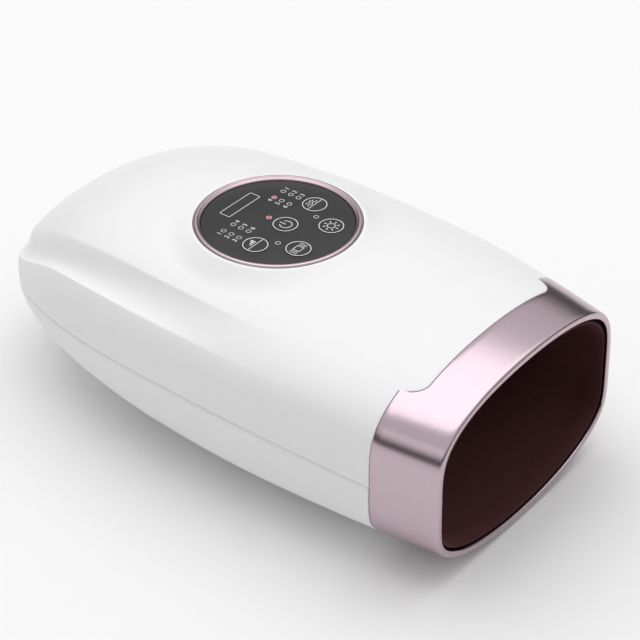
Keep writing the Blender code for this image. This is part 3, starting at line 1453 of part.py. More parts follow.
def build_battery():
    for name, side in (("battery_cell_front", -1.0), ("battery_cell_rear", 1.0)):
        y = CELL_AT + side * CELL_PITCH / 2
        reach = CELL_LENGTH / 2
        profile = [(0.0, reach), (CELL_CAP_RADIUS, reach),
                   (CELL_CAP_RADIUS, reach - CELL_CAP_HEIGHT),
                   (CELL_RADIUS, reach - CELL_CAP_HEIGHT), (CELL_RADIUS, -reach), (0.0, -reach)]
        cell = turned(name, profile, (0.0, y, CELL_HEIGHT), KEY_SEGMENTS)
        cell.rotation_euler = (0.0, math.pi / 2, 0.0)
        add_part(cell, material("cell_blue", CELL_BLUE, 0.35))
    width = CELL_LENGTH + 2.0 * (GAP + TRAY_WALL)
    length = CELL_PITCH + 2.0 * (CELL_RADIUS + GAP + TRAY_WALL)
    bottom = tray_bottom()
    tray = box("battery_tray", (width, length, TRAY_HEIGHT),
               (0.0, CELL_AT, bottom + TRAY_HEIGHT / 2))
    posts = []
    for x, y in board_post_places():
        posts.append((BOARD_POST_RADIUS, (x, y, bottom), (x, y, MAIN_BOARD_HEIGHT - GAP),
                      ROUND_SEGMENTS))
    combine(tray, cylinders("board_posts", posts), "UNION")
    pocket = box("tray_pocket", (width - 2.0 * TRAY_WALL, length - 2.0 * TRAY_WALL, TRAY_HEIGHT),
                 (0.0, CELL_AT, bottom + TRAY_WALL + TRAY_HEIGHT / 2))
    combine(tray, pocket, "DIFFERENCE")
    add_part(tray, material("frame_plastic", FRAME_GREY, 0.55))


def board_post_places():
    across = CELL_LENGTH / 2 + GAP + TRAY_WALL + BOARD_POST_RADIUS / 2
    along = MAIN_BOARD_LENGTH / 2 - BOARD_POST_RADIUS
    return [(x, CELL_AT + y) for y in (-along, along) for x in (-across, across)]


def build_main_board():
    bottom = MAIN_BOARD_HEIGHT
    board = box("main_board", (MAIN_BOARD_WIDTH, MAIN_BOARD_LENGTH, BOARD_THICKNESS),
                (0.0, CELL_AT, bottom + BOARD_THICKNESS / 2))
    rows = {"ribbon_socket": (0.0, ribbon_end() + SOCKET_LENGTH / 2 + GAP, SOCKET_WIDTH),
            "pump_socket": (MAIN_BOARD_WIDTH / 4, CELL_AT, SOCKET_WIDTH / 2),
            "battery_socket": (-MAIN_BOARD_WIDTH / 4, CELL_AT, SOCKET_WIDTH / 2),
            "controller_chip": (0.0, CELL_AT + SOCKET_LENGTH, SOCKET_WIDTH)}
    for name, (x, y, width) in rows.items():
        height = SOCKET_HEIGHT if name != "controller_chip" else BOARD_THICKNESS
        block = box(name, (width, SOCKET_LENGTH, height + BOARD_THICKNESS / 2),
                    (x, y, bottom + BOARD_THICKNESS / 2 + (height + BOARD_THICKNESS / 2) / 2))
        combine(board, block, "UNION")
    add_part(board, material("board_green", BOARD_GREEN, 0.5))


def rounded_outline(width, height, steps=5):
    """Points of a slot outline with round ends, in its own plane."""
    radius = height / 2
    straight = width / 2 - radius
    points = []
    for side, first in ((1.0, -90.0), (-1.0, 90.0)):
        for step in range(steps):
            turn = math.radians(first + 180.0 * step / (steps - 1))
            points.append((side * straight + radius * math.cos(turn), radius * math.sin(turn)))
    return points


def build_inlet():
    """Charging socket whose nose sits in the lower shell's rear pocket."""
    rear = INLET_FACE_AT - GAP
    front = rear - INLET_LENGTH
    outline = rounded_outline(INLET_WIDTH, INLET_TALL)
    rings = [[Vector((x, y, INLET_HEIGHT + z)) for x, z in outline] for y in (front, rear)]
    inlet = closed_loft("charging_inlet", rings)
    outline = rounded_outline(INLET_SLOT_WIDTH, INLET_SLOT_HEIGHT)
    ends = (rear - INLET_SLOT_DEPTH, rear + CUT_OVERRUN)
    rings = [[Vector((x, y, INLET_HEIGHT + z)) for x, z in outline] for y in ends]
    combine(inlet, closed_loft("inlet_slot", rings), "DIFFERENCE")
    tongue_height = INLET_SLOT_HEIGHT / 4
    length = INLET_SLOT_DEPTH * 0.8
    tongue = box("inlet_tongue", (INLET_SLOT_WIDTH * 0.7, length, tongue_height),
                 (0.0, rear - INLET_SLOT_DEPTH + length / 2 - GAP, INLET_HEIGHT))
    combine(inlet, tongue, "UNION")
    add_part(inlet, material("valve_black", VALVE_BLACK, 0.4))


# Air parts and the vibration motor on the shelf

def pump_height():
    return shelf_top() + GAP + CRADLE_WALL + GAP + PUMP_HEAD_RADIUS


def vibrator_height():
    return shelf_top() + GAP + CRADLE_WALL + GAP + VIBRATOR_RADIUS


def axis_cylinder(name, radius, x_start, x_end, y, z, segments=FOOT_SEGMENTS):
    return cylinder(name, radius, (x_start, y, z), (x_end, y, z), segments)


def build_cradle(name, x_start, x_end, y, axis_height, radius):
    """Rubber saddle on the shelf under a round motor."""
    low = shelf_top() + GAP
    high = axis_height - radius * (1.0 - CRADLE_RISE_SHARE)
    width = 2.0 * (radius + CRADLE_WALL)
    cradle = box(name, (x_end - x_start, width, high - low),
                 ((x_start + x_end) / 2, y, (low + high) / 2))
    bed = axis_cylinder(name + "_bed", radius + GAP, x_start - CUT_OVERRUN, x_end + CUT_OVERRUN,
                        y, axis_height)
    combine(cradle, bed, "DIFFERENCE")
    add_part(cradle, material("rubber_grey", RUBBER_GREY, 0.85))


def build_pump():
    z = pump_height()
    motor_end = PUMP_MOTOR_START + PUMP_MOTOR_LENGTH
    head_start = motor_end + PUMP_THROAT
    head_end = head_start + PUMP_HEAD_LENGTH
    motor = axis_cylinder("pump_motor", PUMP_MOTOR_RADIUS, PUMP_MOTOR_START, motor_end, PUMP_AT, z)
    boss = axis_cylinder("pump_motor_boss", PUMP_SHAFT_RADIUS * 3.0, PUMP_MOTOR_START - CRADLE_WALL,
                         PUMP_MOTOR_START + CRADLE_WALL, PUMP_AT, z, ROUND_SEGMENTS)
    combine(motor, boss, "UNION")
    add_part(motor, material("motor_steel", STEEL, 0.35, 0.9))
    build_cradle("pump_cradle", PUMP_MOTOR_START, motor_end, PUMP_AT, z, PUMP_MOTOR_RADIUS)

    head = axis_cylinder("pump_head", PUMP_HEAD_RADIUS, head_start, head_end, PUMP_AT, z)
    bar_inner = PUMP_CAM_RADIUS + PUMP_CAM_OFFSET + PUMP_HEAD_WALL
    bar_start = motor_end + GAP
    for side in (-1.0, 1.0):
        bar = box("pump_bar", (PUMP_THROAT, PUMP_HEAD_WALL, PUMP_HEAD_RADIUS),
                  (bar_start + PUMP_THROAT / 2, PUMP_AT + side * (bar_inner + PUMP_HEAD_WALL / 2), z))
        combine(head, bar, "UNION")
    nozzle = axis_cylinder("pump_nozzle", NOZZLE_RADIUS, head_end - PUMP_HEAD_WALL,
                           head_end + NOZZLE_LENGTH, PUMP_AT, pump_nozzle_height(), ROUND_SEGMENTS)
    combine(head, nozzle, "UNION")
    add_part(head, material("valve_black", VALVE_BLACK, 0.4))

    shaft_end = head_start - GAP
    shaft_start = motor_end + GAP
    cam_middle = (shaft_start + shaft_end) / 2
    rotor = cylinder("pump_rotor", PUMP_SHAFT_RADIUS, (0.0, 0.0, 0.0),
                     (0.0, 0.0, shaft_end - shaft_start))
    rotor.rotation_euler = (0.0, math.pi / 2, 0.0)
    rotor.location = (shaft_start, PUMP_AT, z)
    cam = axis_cylinder("pump_cam", PUMP_CAM_RADIUS, cam_middle - PUMP_CAM_THICKNESS / 2,
                        cam_middle + PUMP_CAM_THICKNESS / 2, PUMP_AT, z + PUMP_CAM_OFFSET)
    combine(rotor, cam, "UNION")
    add_part(rotor, material("motor_steel", STEEL, 0.35, 0.9))


def pump_nozzle_height():
    return pump_height() + PUMP_HEAD_RADIUS / 2


def valve_top():
    return shelf_top() + GAP + VALVE_HEIGHT


def build_valve():
    low = shelf_top() + GAP
    valve = box("air_valve", (VALVE_WIDTH, VALVE_LENGTH, VALVE_HEIGHT),
                (VALVE_ACROSS, VALVE_AT, low + VALVE_HEIGHT / 2))
    out_nozzle = cylinder("valve_out_nozzle", NOZZLE_RADIUS,
                          (VALVE_ACROSS, VALVE_AT, valve_top() - NOZZLE_RADIUS),
                          (VALVE_ACROSS, VALVE_AT, valve_top() + VALVE_NOZZLE_LENGTH))
    combine(valve, out_nozzle, "UNION")
    side = VALVE_ACROSS + VALVE_WIDTH / 2
    in_nozzle = axis_cylinder("valve_in_nozzle", NOZZLE_RADIUS, side - NOZZLE_RADIUS,
                              side + VALVE_NOZZLE_LENGTH, VALVE_AT, valve_in_height(),
                              ROUND_SEGMENTS)
    combine(valve, in_nozzle, "UNION")
    add_part(valve, material("valve_black", VALVE_BLACK, 0.4))


def valve_in_height():
    return shelf_top() + GAP + VALVE_HEIGHT / 2


def smooth_route(points, steps):
    """Points along a smooth curve through a hand-set route."""
    route = [Vector(point) for point in points]
    padded = [route[0] * 2.0 - route[1]] + route + [route[-1] * 2.0 - route[-2]]
    found = []
    for index in range(1, len(padded) - 2):
        before, first, second, after = padded[index - 1:index + 3]
        for step in range(steps):
            t = step / steps
            pull = (second - before) * t
            bend = (before * 2.0 - first * 5.0 + second * 4.0 - after) * t ** 2
            twist = (first * 3.0 - before - second * 3.0 + after) * t ** 3
            found.append((first * 2.0 + pull + bend + twist) / 2.0)
    found.append(route[-1])
    return found


def arc(centre, first, second, span, steps):
    """Points that turn about the centre from the first arm towards the second."""
    turns = [math.radians(span * step / steps) for step in range(steps + 1)]
    return [centre + first * math.cos(turn) + second * math.sin(turn) for turn in turns]


def build_hose(name, points):
    curve = bpy.data.curves.new(name, "CURVE")
    curve.dimensions = "3D"
    curve.bevel_depth = HOSE_RADIUS
    curve.bevel_resolution = 2
    curve.use_fill_caps = True
    line = curve.splines.new("POLY")
    line.points.add(len(points) - 1)
    for target, point in zip(line.points, points):
        target.co = (*point, 1.0)
    hose = bpy.data.objects.new(name, curve)
    bpy.context.scene.collection.objects.link(hose)
    add_part(hose, material("hose_clear", HOSE_CLEAR, 0.3))


def build_hoses():
    """A return bend from the pump to the valve, and an elbow up to the bladder."""
    head_end = PUMP_MOTOR_START + PUMP_MOTOR_LENGTH + PUMP_THROAT + PUMP_HEAD_LENGTH
    pump_end = Vector((head_end + NOZZLE_LENGTH + GAP, PUMP_AT, pump_nozzle_height()))
    side = VALVE_ACROSS + VALVE_WIDTH / 2 + VALVE_NOZZLE_LENGTH + GAP
    valve_end = Vector((side, VALVE_AT, valve_in_height()))
    arm = Vector((0.0, pump_end.y - valve_end.y, pump_end.z - valve_end.z)) / 2
    centre = Vector((side + HOSE_LEAD, valve_end.y + arm.y, valve_end.z + arm.z))
    bend = arc(centre, arm, Vector((arm.length, 0.0, 0.0)), 180.0, 6)
    build_hose("pump_hose", [pump_end] + bend + [valve_end])
    top = valve_top() + VALVE_NOZZLE_LENGTH + GAP
    port = bladder_port_height()
    radius = port - top - HOSE_LEAD
    centre = Vector((VALVE_ACROSS, VALVE_AT - radius, top + HOSE_LEAD))
    bend = arc(centre, Vector((0.0, radius, 0.0)), Vector((0.0, 0.0, radius)), 90.0, 3)
    ends = [Vector((VALVE_ACROSS, VALVE_AT, top)), Vector((VALVE_ACROSS, BLADDER_END + GAP, port))]
    build_hose("bladder_hose", ends[:1] + bend + ends[1:])


def build_vibrator():
    """Small motor with an eccentric weight, held in a saddle on the shelf."""
    z = vibrator_height()
    start = VIBRATOR_START
    end = start + VIBRATOR_LENGTH
    motor = axis_cylinder("vibration_motor", VIBRATOR_RADIUS, start, end, VIBRATOR_AT, z)
    add_part(motor, material("motor_steel", STEEL, 0.35, 0.9))
    build_cradle("vibration_motor_cradle", start, end, VIBRATOR_AT, z, VIBRATOR_RADIUS)
    shaft_length = VIBRATOR_WEIGHT_GAP + VIBRATOR_WEIGHT_THICKNESS
    weight = cylinder("vibration_weight", VIBRATOR_SHAFT_RADIUS * 2.0, (0.0, 0.0, 0.0),
                      (0.0, 0.0, -shaft_length))
    weight.rotation_euler = (0.0, math.pi / 2, 0.0)
    weight.location = (start - GAP, VIBRATOR_AT, z)
    far = start - GAP - shaft_length
    near = start - GAP - VIBRATOR_WEIGHT_GAP
    rings = []
    for x in (far, near):
        ring = []
        for step in range(ROUND_SEGMENTS // 2 + 1):
            turn = math.pi + math.pi * step / (ROUND_SEGMENTS // 2)
            ring.append(Vector((x, VIBRATOR_AT + VIBRATOR_WEIGHT_RADIUS * math.cos(turn),
                                z + VIBRATOR_WEIGHT_RADIUS * math.sin(turn))))
        rings.append(ring)
    combine(weight, closed_loft("half_disc", rings), "UNION")
    add_part(weight, material("motor_steel", STEEL, 0.35, 0.9))


def ribbon_end():
    """Depth at which the ribbon cable meets its socket on the main board."""
    return CELL_AT - MAIN_BOARD_LENGTH / 2 + SOCKET_LENGTH / 2


def build_ribbon():
    """Flat cable from the control board, behind the end plate, to the main board."""
    behind = end_plate_front() + END_PLATE_THICKNESS + RIBBON_CLEAR + RIBBON_SLOT / 2
    start = PANEL_AT + BOARD_RADIUS + GAP
    high = board_top() - BOARD_THICKNESS / 2
    low = MAIN_BOARD_HEIGHT + BOARD_THICKNESS + SOCKET_HEIGHT / 2
    bend = RIBBON_SLOT
    points = [(0.0, start, high), (0.0, between(start, behind, 0.5), high),
              (0.0, behind - bend, high - bend / 4), (0.0, behind, high - bend * 1.5),
              (0.0, behind, shelf_top() + bend), (0.0, behind, SHELF_HEIGHT - RIBBON_CLEAR),
              (0.0, behind + bend / 4, low + bend / 4), (0.0, ribbon_end(), low)]
    route = smooth_route(points, 2)
    rings = []
    for index, point in enumerate(route):
        before = route[max(0, index - 1)]
        after = route[min(len(route) - 1, index + 1)]
        along = (after - before).normalized()
        normal = Vector((0.0, -along.z, along.y)) * RIBBON_THICKNESS / 2
        ring = []
        for side, level in ((-0.5, -1.0), (0.5, -1.0), (0.5, 1.0), (-0.5, 1.0)):
            ring.append(point + Vector((RIBBON_WIDTH * side, 0.0, 0.0)) + normal * level)
        rings.append(ring)
    ribbon = closed_loft("panel_ribbon_cable", rings)
    add_part(ribbon, material("hose_clear", HOSE_CLEAR, 0.3))


def main():
    clear_scene()
    bpy.context.scene.collection.children.link(PARTS)
    bpy.context.scene.collection.children.link(CUTTERS)
    mouth = bpy.data.objects.new("mouth_centre", None)
    mouth.location = (0.0, -BODY_LENGTH / 2, 0.0)
    PARTS.objects.link(mouth)
    build_upper_shell()
    build_lower_shell()
    build_collar()
    build_liner_frame()
    build_chamber()
    build_end_bracket()
    build_soft_parts()
    build_liner()
    build_bezel()
    build_lens()
    build_keys()
    build_light_guide()
    build_control_board()
    build_screws()
    build_feet()
    build_battery()
    build_main_board()
    build_inlet()
    build_pump()
    build_valve()
    build_hoses()
    build_vibrator()
    build_ribbon()


main()
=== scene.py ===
"""Hand massager: fine surfaces, finishes, floor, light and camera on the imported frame."""

import json
import math
from contextlib import contextmanager

import bmesh
import bpy
import numpy as np
from bpy.props import FloatProperty, FloatVectorProperty, PointerProperty
from mathutils import Matrix, Vector

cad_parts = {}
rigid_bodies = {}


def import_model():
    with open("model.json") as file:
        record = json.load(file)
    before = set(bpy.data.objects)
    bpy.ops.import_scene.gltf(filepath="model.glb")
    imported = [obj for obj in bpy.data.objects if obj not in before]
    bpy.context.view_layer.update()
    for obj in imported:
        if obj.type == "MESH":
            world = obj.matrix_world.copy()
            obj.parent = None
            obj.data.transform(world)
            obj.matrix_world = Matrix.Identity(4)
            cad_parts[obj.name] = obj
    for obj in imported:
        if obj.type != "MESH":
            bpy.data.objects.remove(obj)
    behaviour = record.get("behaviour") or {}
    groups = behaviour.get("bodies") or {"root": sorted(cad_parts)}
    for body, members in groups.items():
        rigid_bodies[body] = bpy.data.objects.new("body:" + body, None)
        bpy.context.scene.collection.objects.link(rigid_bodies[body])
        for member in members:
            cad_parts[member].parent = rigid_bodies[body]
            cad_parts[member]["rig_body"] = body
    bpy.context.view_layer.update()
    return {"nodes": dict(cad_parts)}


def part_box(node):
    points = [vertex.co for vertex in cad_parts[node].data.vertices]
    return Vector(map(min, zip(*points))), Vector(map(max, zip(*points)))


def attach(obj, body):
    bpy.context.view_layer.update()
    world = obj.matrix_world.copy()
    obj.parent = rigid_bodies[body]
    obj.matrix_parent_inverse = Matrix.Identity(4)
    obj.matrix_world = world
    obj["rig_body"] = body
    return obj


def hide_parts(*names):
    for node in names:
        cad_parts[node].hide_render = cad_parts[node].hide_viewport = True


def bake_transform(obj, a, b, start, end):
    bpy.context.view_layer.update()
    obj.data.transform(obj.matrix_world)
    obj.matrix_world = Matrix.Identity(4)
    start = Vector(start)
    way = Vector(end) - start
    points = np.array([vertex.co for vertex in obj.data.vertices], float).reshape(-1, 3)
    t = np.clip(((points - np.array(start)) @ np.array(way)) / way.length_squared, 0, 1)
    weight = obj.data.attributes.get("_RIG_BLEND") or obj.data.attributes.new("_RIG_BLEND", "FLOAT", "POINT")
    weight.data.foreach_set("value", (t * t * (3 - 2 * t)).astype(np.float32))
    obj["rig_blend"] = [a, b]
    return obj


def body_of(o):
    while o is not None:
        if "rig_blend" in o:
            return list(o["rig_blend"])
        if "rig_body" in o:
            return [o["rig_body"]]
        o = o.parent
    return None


bl_info = {
    "name": "Hand massager",
    "version": (1, 0, 0),
    "blender": (4, 5, 0),
    "location": "3D Viewport > Sidebar > Massager",
    "description": "Dresses the packed hand massager with fine pieces, finishes and a stage",
    "category": "Object",
}

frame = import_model()

# Finenesses: merging distance, guard against a division by zero, angles in degrees past which an edge
# stays sharp, steps of a fine curve and segments of the turned bodies.
MERGE = 1e-6
TINY = 1e-12
SHARP_ANGLE = 35.0
ROUND_ANGLE = 50.0
DOME_ANGLE = 60.0
ARC_STEPS = 160
OUTLINE_STEPS = 4000
RING_SEGMENTS, LENS_SEGMENTS, KEY_SEGMENTS = 160, 128, 72
FOOT_SEGMENTS, BAR_SEGMENTS, INLET_SEGMENTS = 64, 48, 32

# Form of the body, in metres. Lengths along the body count from the mouth.
ROW_SHIFT = -0.15275
BODY_LENGTH = 0.3055
HALF_WIDTH = 0.088
WIDEST_AT = 0.144
MOUTH_NARROWING = 0.0146
PLAN_ALONG_POWER = 2.39
PLAN_ACROSS_POWER = 3.04
CROWN_HEIGHT = 0.111
CROWN_AT = 0.189
MOUTH_CROWN_HEIGHT = 0.100
CROWN_ALONG_POWER = 2.37
CROWN_UP_POWER = 1.67
KEEL_HEIGHT = 0.002
KEEL_BEND_AT = 0.0974
KEEL_ALONG_POWER = 2.10
KEEL_UP_POWER = 1.553
SEAM_HEIGHT = 0.0475
SEAM_CLIMB = 0.0027
SEAM_BOW = 0.0098
SECTION_POWER_MOUTH = 4.86
SECTION_POWER_REAR = 3.44
CROWN_DROP_MOUTH = 0.01266
CROWN_DROP_REAR = 0.01338
KEEL_RISE_MOUTH = 0.01672
KEEL_RISE_REAR = 0.00982
BOW_SHARE = 0.30
MOUTH_LEAN = 0.0019
MOUTH_LEAN_REACH = 0.060
GAP = 0.0003
SHELL_WALL = 0.0024
SHELL_EDGE = 0.0003
BLOCK_FROM = 0.088
BLOCK_TO = 0.2216
TIP_ROW_AT = 0.305391
INNER_TIP_ROW_AT = 0.3028
CORE_END_AT = 0.3035

# Columns and rows of the grids, the panel's block among them.
FRONT_ROWS, BLOCK_ROWS, REAR_ROWS = 26, 78, 66
UPPER_COUNTS = (35, 2, 2, 11, 2, 2, 12)
BLOCK_COLUMNS = 33
LOWER_STOPS, LOWER_COUNTS = (0.55,), (30, 14)
CORE_STOPS, CORE_COUNTS = (0.5,), (14, 20)

# Groove along the rear sides.
COVE_HEAD_SHARE = 0.735
COVE_REAR_HEAD_SHARE = 0.750
COVE_FOOT_SHARE = 0.925
COVE_REAR_FOOT_SHARE = 0.970
COVE_STARTS_AT = 0.082
COVE_FULL_AT = 0.165
COVE_TURNS_AT = 0.240
COVE_TURNED_AT = 0.290
COVE_DEPTH = 0.0034
COVE_FULL_CHORD = 0.013
COVE_LEAN = 2.1
FOLD_SHARE = 0.012

# Underside: feet, screws and the charging inlet.
# A section holds half its width, half its height and its corner.
FEET = {
    "front_left_foot": (-0.036, 0.053),
    "front_right_foot": (0.036, 0.053),
    "rear_left_foot": (-0.036, 0.210),
    "rear_right_foot": (0.036, 0.210),
}
FOOT_PROFILE = (
    (0.0, 0.0007), (0.0050, 0.0007), (0.0053, 0.0004), (0.0056, 0.0), (0.0078, 0.0),
    (0.0083, 0.0002), (0.0085, 0.0007), (0.0085, 0.0030), (0.0, 0.0030),
)
FOOT_RADIUS = 0.0085
FOOT_RECESS_TOP = 0.0033
PAD_FOOT = 0.0023
PAD_RADIUS = 0.0110
PAD_FLARE = 0.0022
PAD_EDGE = 0.0005
PAD_ROOT_SHARE = 0.6
CHAMBER_SCREWS = ((-0.048, 0.072), (0.048, 0.072), (-0.048, 0.172), (0.048, 0.172))
REAR_SCREWS = ((-0.066, 0.214), (0.066, 0.214))
SCREW_HEAD_HEIGHT = 0.0018
SCREW_HOLE_RADIUS = 0.0018
WELL_RADIUS = 0.0031
SCREW_HOLE_UNDER = 0.002
SCREW_HOLE_OVER = 0.004
POST_RADIUS = 0.0044
REAR_POST_FLOOR = 0.005
OVERRUN = 0.01
INLET_FACE_AT = 0.2925
INLET_HEIGHT = 0.044
INLET_SECTION = (0.0095, 0.0045, 0.0022)
PORT_SECTION = (0.0068, 0.0038, 0.0035)
PORT_FROM = 0.005
PORT_TO = 0.002
POCKET_WALL = 0.002

# Metal collar round the mouth.
COLLAR_SIDE_DEPTH = 0.0357
COLLAR_TOP_DEPTH = 0.0250
COLLAR_CENTRE_DEPTH = 0.0256
COLLAR_WALL = 0.0024
COLLAR_LIP = 0.0036
COLLAR_LIP_DEPTH = 0.0085
COLLAR_LIP_ROUND = 0.0012
LIP_OUTER_SHARE = 1.2
LIP_INNER_SHARE = 0.75
LIP_ROWS_AT = (0.003, 0.0055)
COLLAR_FILLET = 0.0004
BAND_FROM_SHARE = 0.12
NOTCH_CORNER_SHARE = 0.714
NOTCH_START_SHARE = 0.606
COLLAR_SECTION = ((NOTCH_START_SHARE, NOTCH_CORNER_SHARE), (30, 14, 26), (0.7,), (34, 26))
FRAME_WALL = 0.0018
FRAME_REAR_AT = 0.0482

# Lining of the hand space.
SOFT_CLEAR = 0.0008
LINING_WALL = 0.0012
LINING_SETTLES_AT = 0.064
LINING_END_AT = 0.201
LINING_SIDE_INSET = 0.0118
LINING_TOP_INSET = 0.0324
LINING_KEEL_INSET = 0.0214
LINING_SECTION = ((0.6,), (24, 22), (0.6,), (22, 22))
CUSHION_EDGE = 0.0012
FILM_EDGE = 0.0003
FUNNEL_EDGE_AT = (0.0013, 0.0016, 0.0022, 0.0032, 0.0045)
FUNNEL_FROM, FUNNEL_PAST = 0.006, 0.001
FUNNEL_TUCK = 0.0004
LINING_SKIN = 0.0002
SLEEVE_STEP = 0.0014
SLEEVE_STRAIGHT_TO = 0.196
SLEEVE_END_ROWS_AT = (0.1982, 0.1996, 0.2004)
SLEEVE_WALL = 0.0009
SLEEVE_MIDDLE = 0.05
END_SHARES = (0.9, 0.72, 0.5, 0.25, 0.06)
END_DEPTH = 0.0004
END_HOLLOW = 0.0006
PAD_BEND_LOW = 0.046
PAD_BEND_HIGH = 0.068
CURTAIN_LOW = 0.049
CURTAIN_RISES = (0.004, 0.008, 0.0125)
CURTAIN_GAIN = 1.3
CURTAIN_STEP = 0.0002

# Round panel on the top.
PANEL_AT = 0.1548
PANEL_RIM_HEIGHT = 0.1112
PANEL_HOLE_RADIUS = 0.0428
PANEL_RIM_RADIUS = 0.0444
PANEL_BLEND_RADIUS = 0.0569
SEAT_RADII = (PANEL_HOLE_RADIUS, 0.0436, PANEL_RIM_RADIUS, 0.0447, 0.0453, 0.0462)
SEAT_SLOPE_FROM, SEAT_SLOPE_RINGS = 0.0474, 7
RING_FOOT = 0.1085
RING_PROFILE = (
    (0.0388, RING_FOOT), (0.0388, 0.1107), (0.0389, 0.1109), (0.0396, 0.1114), (0.0401, 0.11165),
    (0.04025, 0.1118), (0.0404, 0.1120), (0.0407, 0.1121), (0.0413, 0.1121), (0.0417, 0.1120),
    (0.0420, 0.1118), (0.0424, 0.1113), (0.0425, 0.1110), (0.0425, RING_FOOT), (0.0388, RING_FOOT),
)
LENS_RADIUS = 0.0386
LENS_EDGE = 0.0002
LENS_ROUND = 0.00012
LENS_FOOT = 0.1085
LENS_TOP = 0.1105
KEY_RADIUS = 0.0065
KEY_TOP = 0.1108
KEY_FLANGE_TOP = 0.1082
KEY_FLANGE_FOOT = 0.1072
KEY_FLANGE_RADIUS = 0.0074
KEY_EDGE = 0.0003
KEY_EDGE_STEP = 0.0001
KEY_FACE_SHARE = 0.6
KEY_GAP = 0.00025
KEY_HOLE_FROM, KEY_HOLE_TO = 0.106, 0.113
PANEL_CENTRE = (0.0, PANEL_AT + ROW_SHIFT)

KEYS = {
    "power": (0.0, -0.0047),
    "strength": (-0.0234, -0.0047),
    "mode": (0.0234, -0.0047),
    "vibration": (-0.0130, -0.0235),
    "heat": (0.0130, -0.0235),
}

# Marks printed on the panel and the keys.
FINE_LINE, RAY_LINE, WAVE_LINE = 0.85, 1.15, 0.85
PLATE_LINE, RING_LINE, DOME_LINE = 0.8, 0.75, 0.7
MITRE_LIMIT = 0.4
SIGN_EDGE = 0.0004
POWER_ARC = (0.0003, 0.0031, 125, 415)
POWER_BAR = (-0.0001, 0.0036)
MODE_WAVES = ((0.0016, 0.0036), (0.0034, 0.0026))
MODE_SWING = 0.0005
STRENGTH_BARS = 4
BAR_START, BAR_PITCH, BAR_WIDTH = -0.0023, 0.0012, 0.0007
BAR_FOOT, BAR_LOW, BAR_RISE = 0.0012, 0.0009, 0.0007
SUN_RADIUS, RAY_FROM, RAY_TO = 0.0020, 0.0028, 0.0043
SHAKER_HALF = 0.0019
SHAKER_WAVES = (0.0031, 0.0044)
SHAKER_REACH, SHAKER_SWING = 0.0022, 0.0003
PLATE_HALF, PLATE_LOW, PLATE_HIGH, PLATE_CORNER = 0.01205, 0.0218, 0.02805, 0.0006
NUMBER_GAP = 0.0033
DIGIT_SHARE = 0.72

# Lamps of the panel: rows, columns with their numbers and the side these stand on, and single lamps.
LAMP_ROWS = (0.0158, 0.01085, 0.0059)
LAMP_COLUMNS = (
    (-0.0232, (1, 2, 3), -1),
    (-0.0159, (4, 5, 6), 1),
    (0.0161, (4, 5, 6), -1),
    (0.0235, (1, 2, 3), 1),
)
LIT_COLUMN = 2
POWER_LAMP = (0.0, 0.0059)
KEY_LAMPS = ((-0.0151, -0.0122), (0.0151, -0.0122))
LAMP_DOME = 0.00022

# Screws: each kind's head radius, head height, shank radius and thread pitch.
SCREW_SIZES = ("Head radius", "Head height", "Shank radius", "Shank length", "Thread pitch", "Recess width")
SCREWS = {
    "control_board_screw": (0.0019, 0.0012, 0.0010, 0.0005),
    "chamber_screw": (0.0027, SCREW_HEAD_HEIGHT, 0.0014, 0.0007),
    "rear_case_screw": (0.0027, SCREW_HEAD_HEIGHT, 0.0014, 0.0007),
}
RECESS_SHARE = 1.15
RECESS_NARROW_SHARE, RECESS_DEEP_SHARE = 0.26, 1.1
SCREW_FACE_SHARE = 0.78
CORE_SHARE, CREST_SHARE, RIDGE_SHARE = 0.84, 0.88, 0.12
THREAD_SHARE, THREAD_START_SHARE = 0.92, 0.04

# Stage.
AIM = (0.0228, -0.0065, 0.0411)
SENSOR = 36.0
FLOOR_HALF = 6.0
HORIZON_FROM, HORIZON_TO = 0.18, 0.48
TOP_LIGHT = ((0.40, 0.32, 2.3), 3.0, 2.4)
SIDE_LIGHT = ((-1.5, -0.1, 0.75), 0.9, 0.7)


def between(first, last, share):
    """Value that lies a share of the way from the first to the last."""
    return first + (last - first) * share


def ease(place, start, end):
    """Smooth rise from zero at the start to one at the end."""
    share = np.clip((place - start) / (end - start), 0.0, 1.0)
    return share * share * (3 - 2 * share)


def half_width(along):
    """Half of the body's width at a length from the mouth."""
    along = np.asarray(along, dtype=float)
    front = HALF_WIDTH - MOUTH_NARROWING * ((WIDEST_AT - along) / WIDEST_AT) ** 2
    share = np.clip((along - WIDEST_AT) / (BODY_LENGTH - WIDEST_AT), 0.0, 1.0)
    rear = HALF_WIDTH * (1 - share**PLAN_ALONG_POWER) ** (1 / PLAN_ACROSS_POWER)
    return np.where(along < WIDEST_AT, front, rear)


def seam_height(along):
    """Height of the line where the two shells meet."""
    share = np.asarray(along, dtype=float) / BODY_LENGTH
    return SEAM_HEIGHT + SEAM_CLIMB * share + SEAM_BOW * 4 * share * (1 - share)


def crown_height(along):
    """Height of the top line."""
    along = np.asarray(along, dtype=float)
    fall = CROWN_HEIGHT - MOUTH_CROWN_HEIGHT
    front = CROWN_HEIGHT - fall * ((CROWN_AT - along) / CROWN_AT) ** 2
    share = np.clip((along - CROWN_AT) / (BODY_LENGTH - CROWN_AT), 0.0, 1.0)
    full = (1 - share**CROWN_ALONG_POWER) ** (1 / CROWN_UP_POWER)
    rear = between(seam_height(BODY_LENGTH), CROWN_HEIGHT, full)
    return np.where(along < CROWN_AT, front, rear)


def keel_height(along):
    """Height of the bottom line."""
    along = np.asarray(along, dtype=float)
    share = np.clip((along - KEEL_BEND_AT) / (BODY_LENGTH - KEEL_BEND_AT), 0.0, 1.0)
    full = (1 - share**KEEL_ALONG_POWER) ** (1 / KEEL_UP_POWER)
    return between(seam_height(BODY_LENGTH), KEEL_HEIGHT, full)


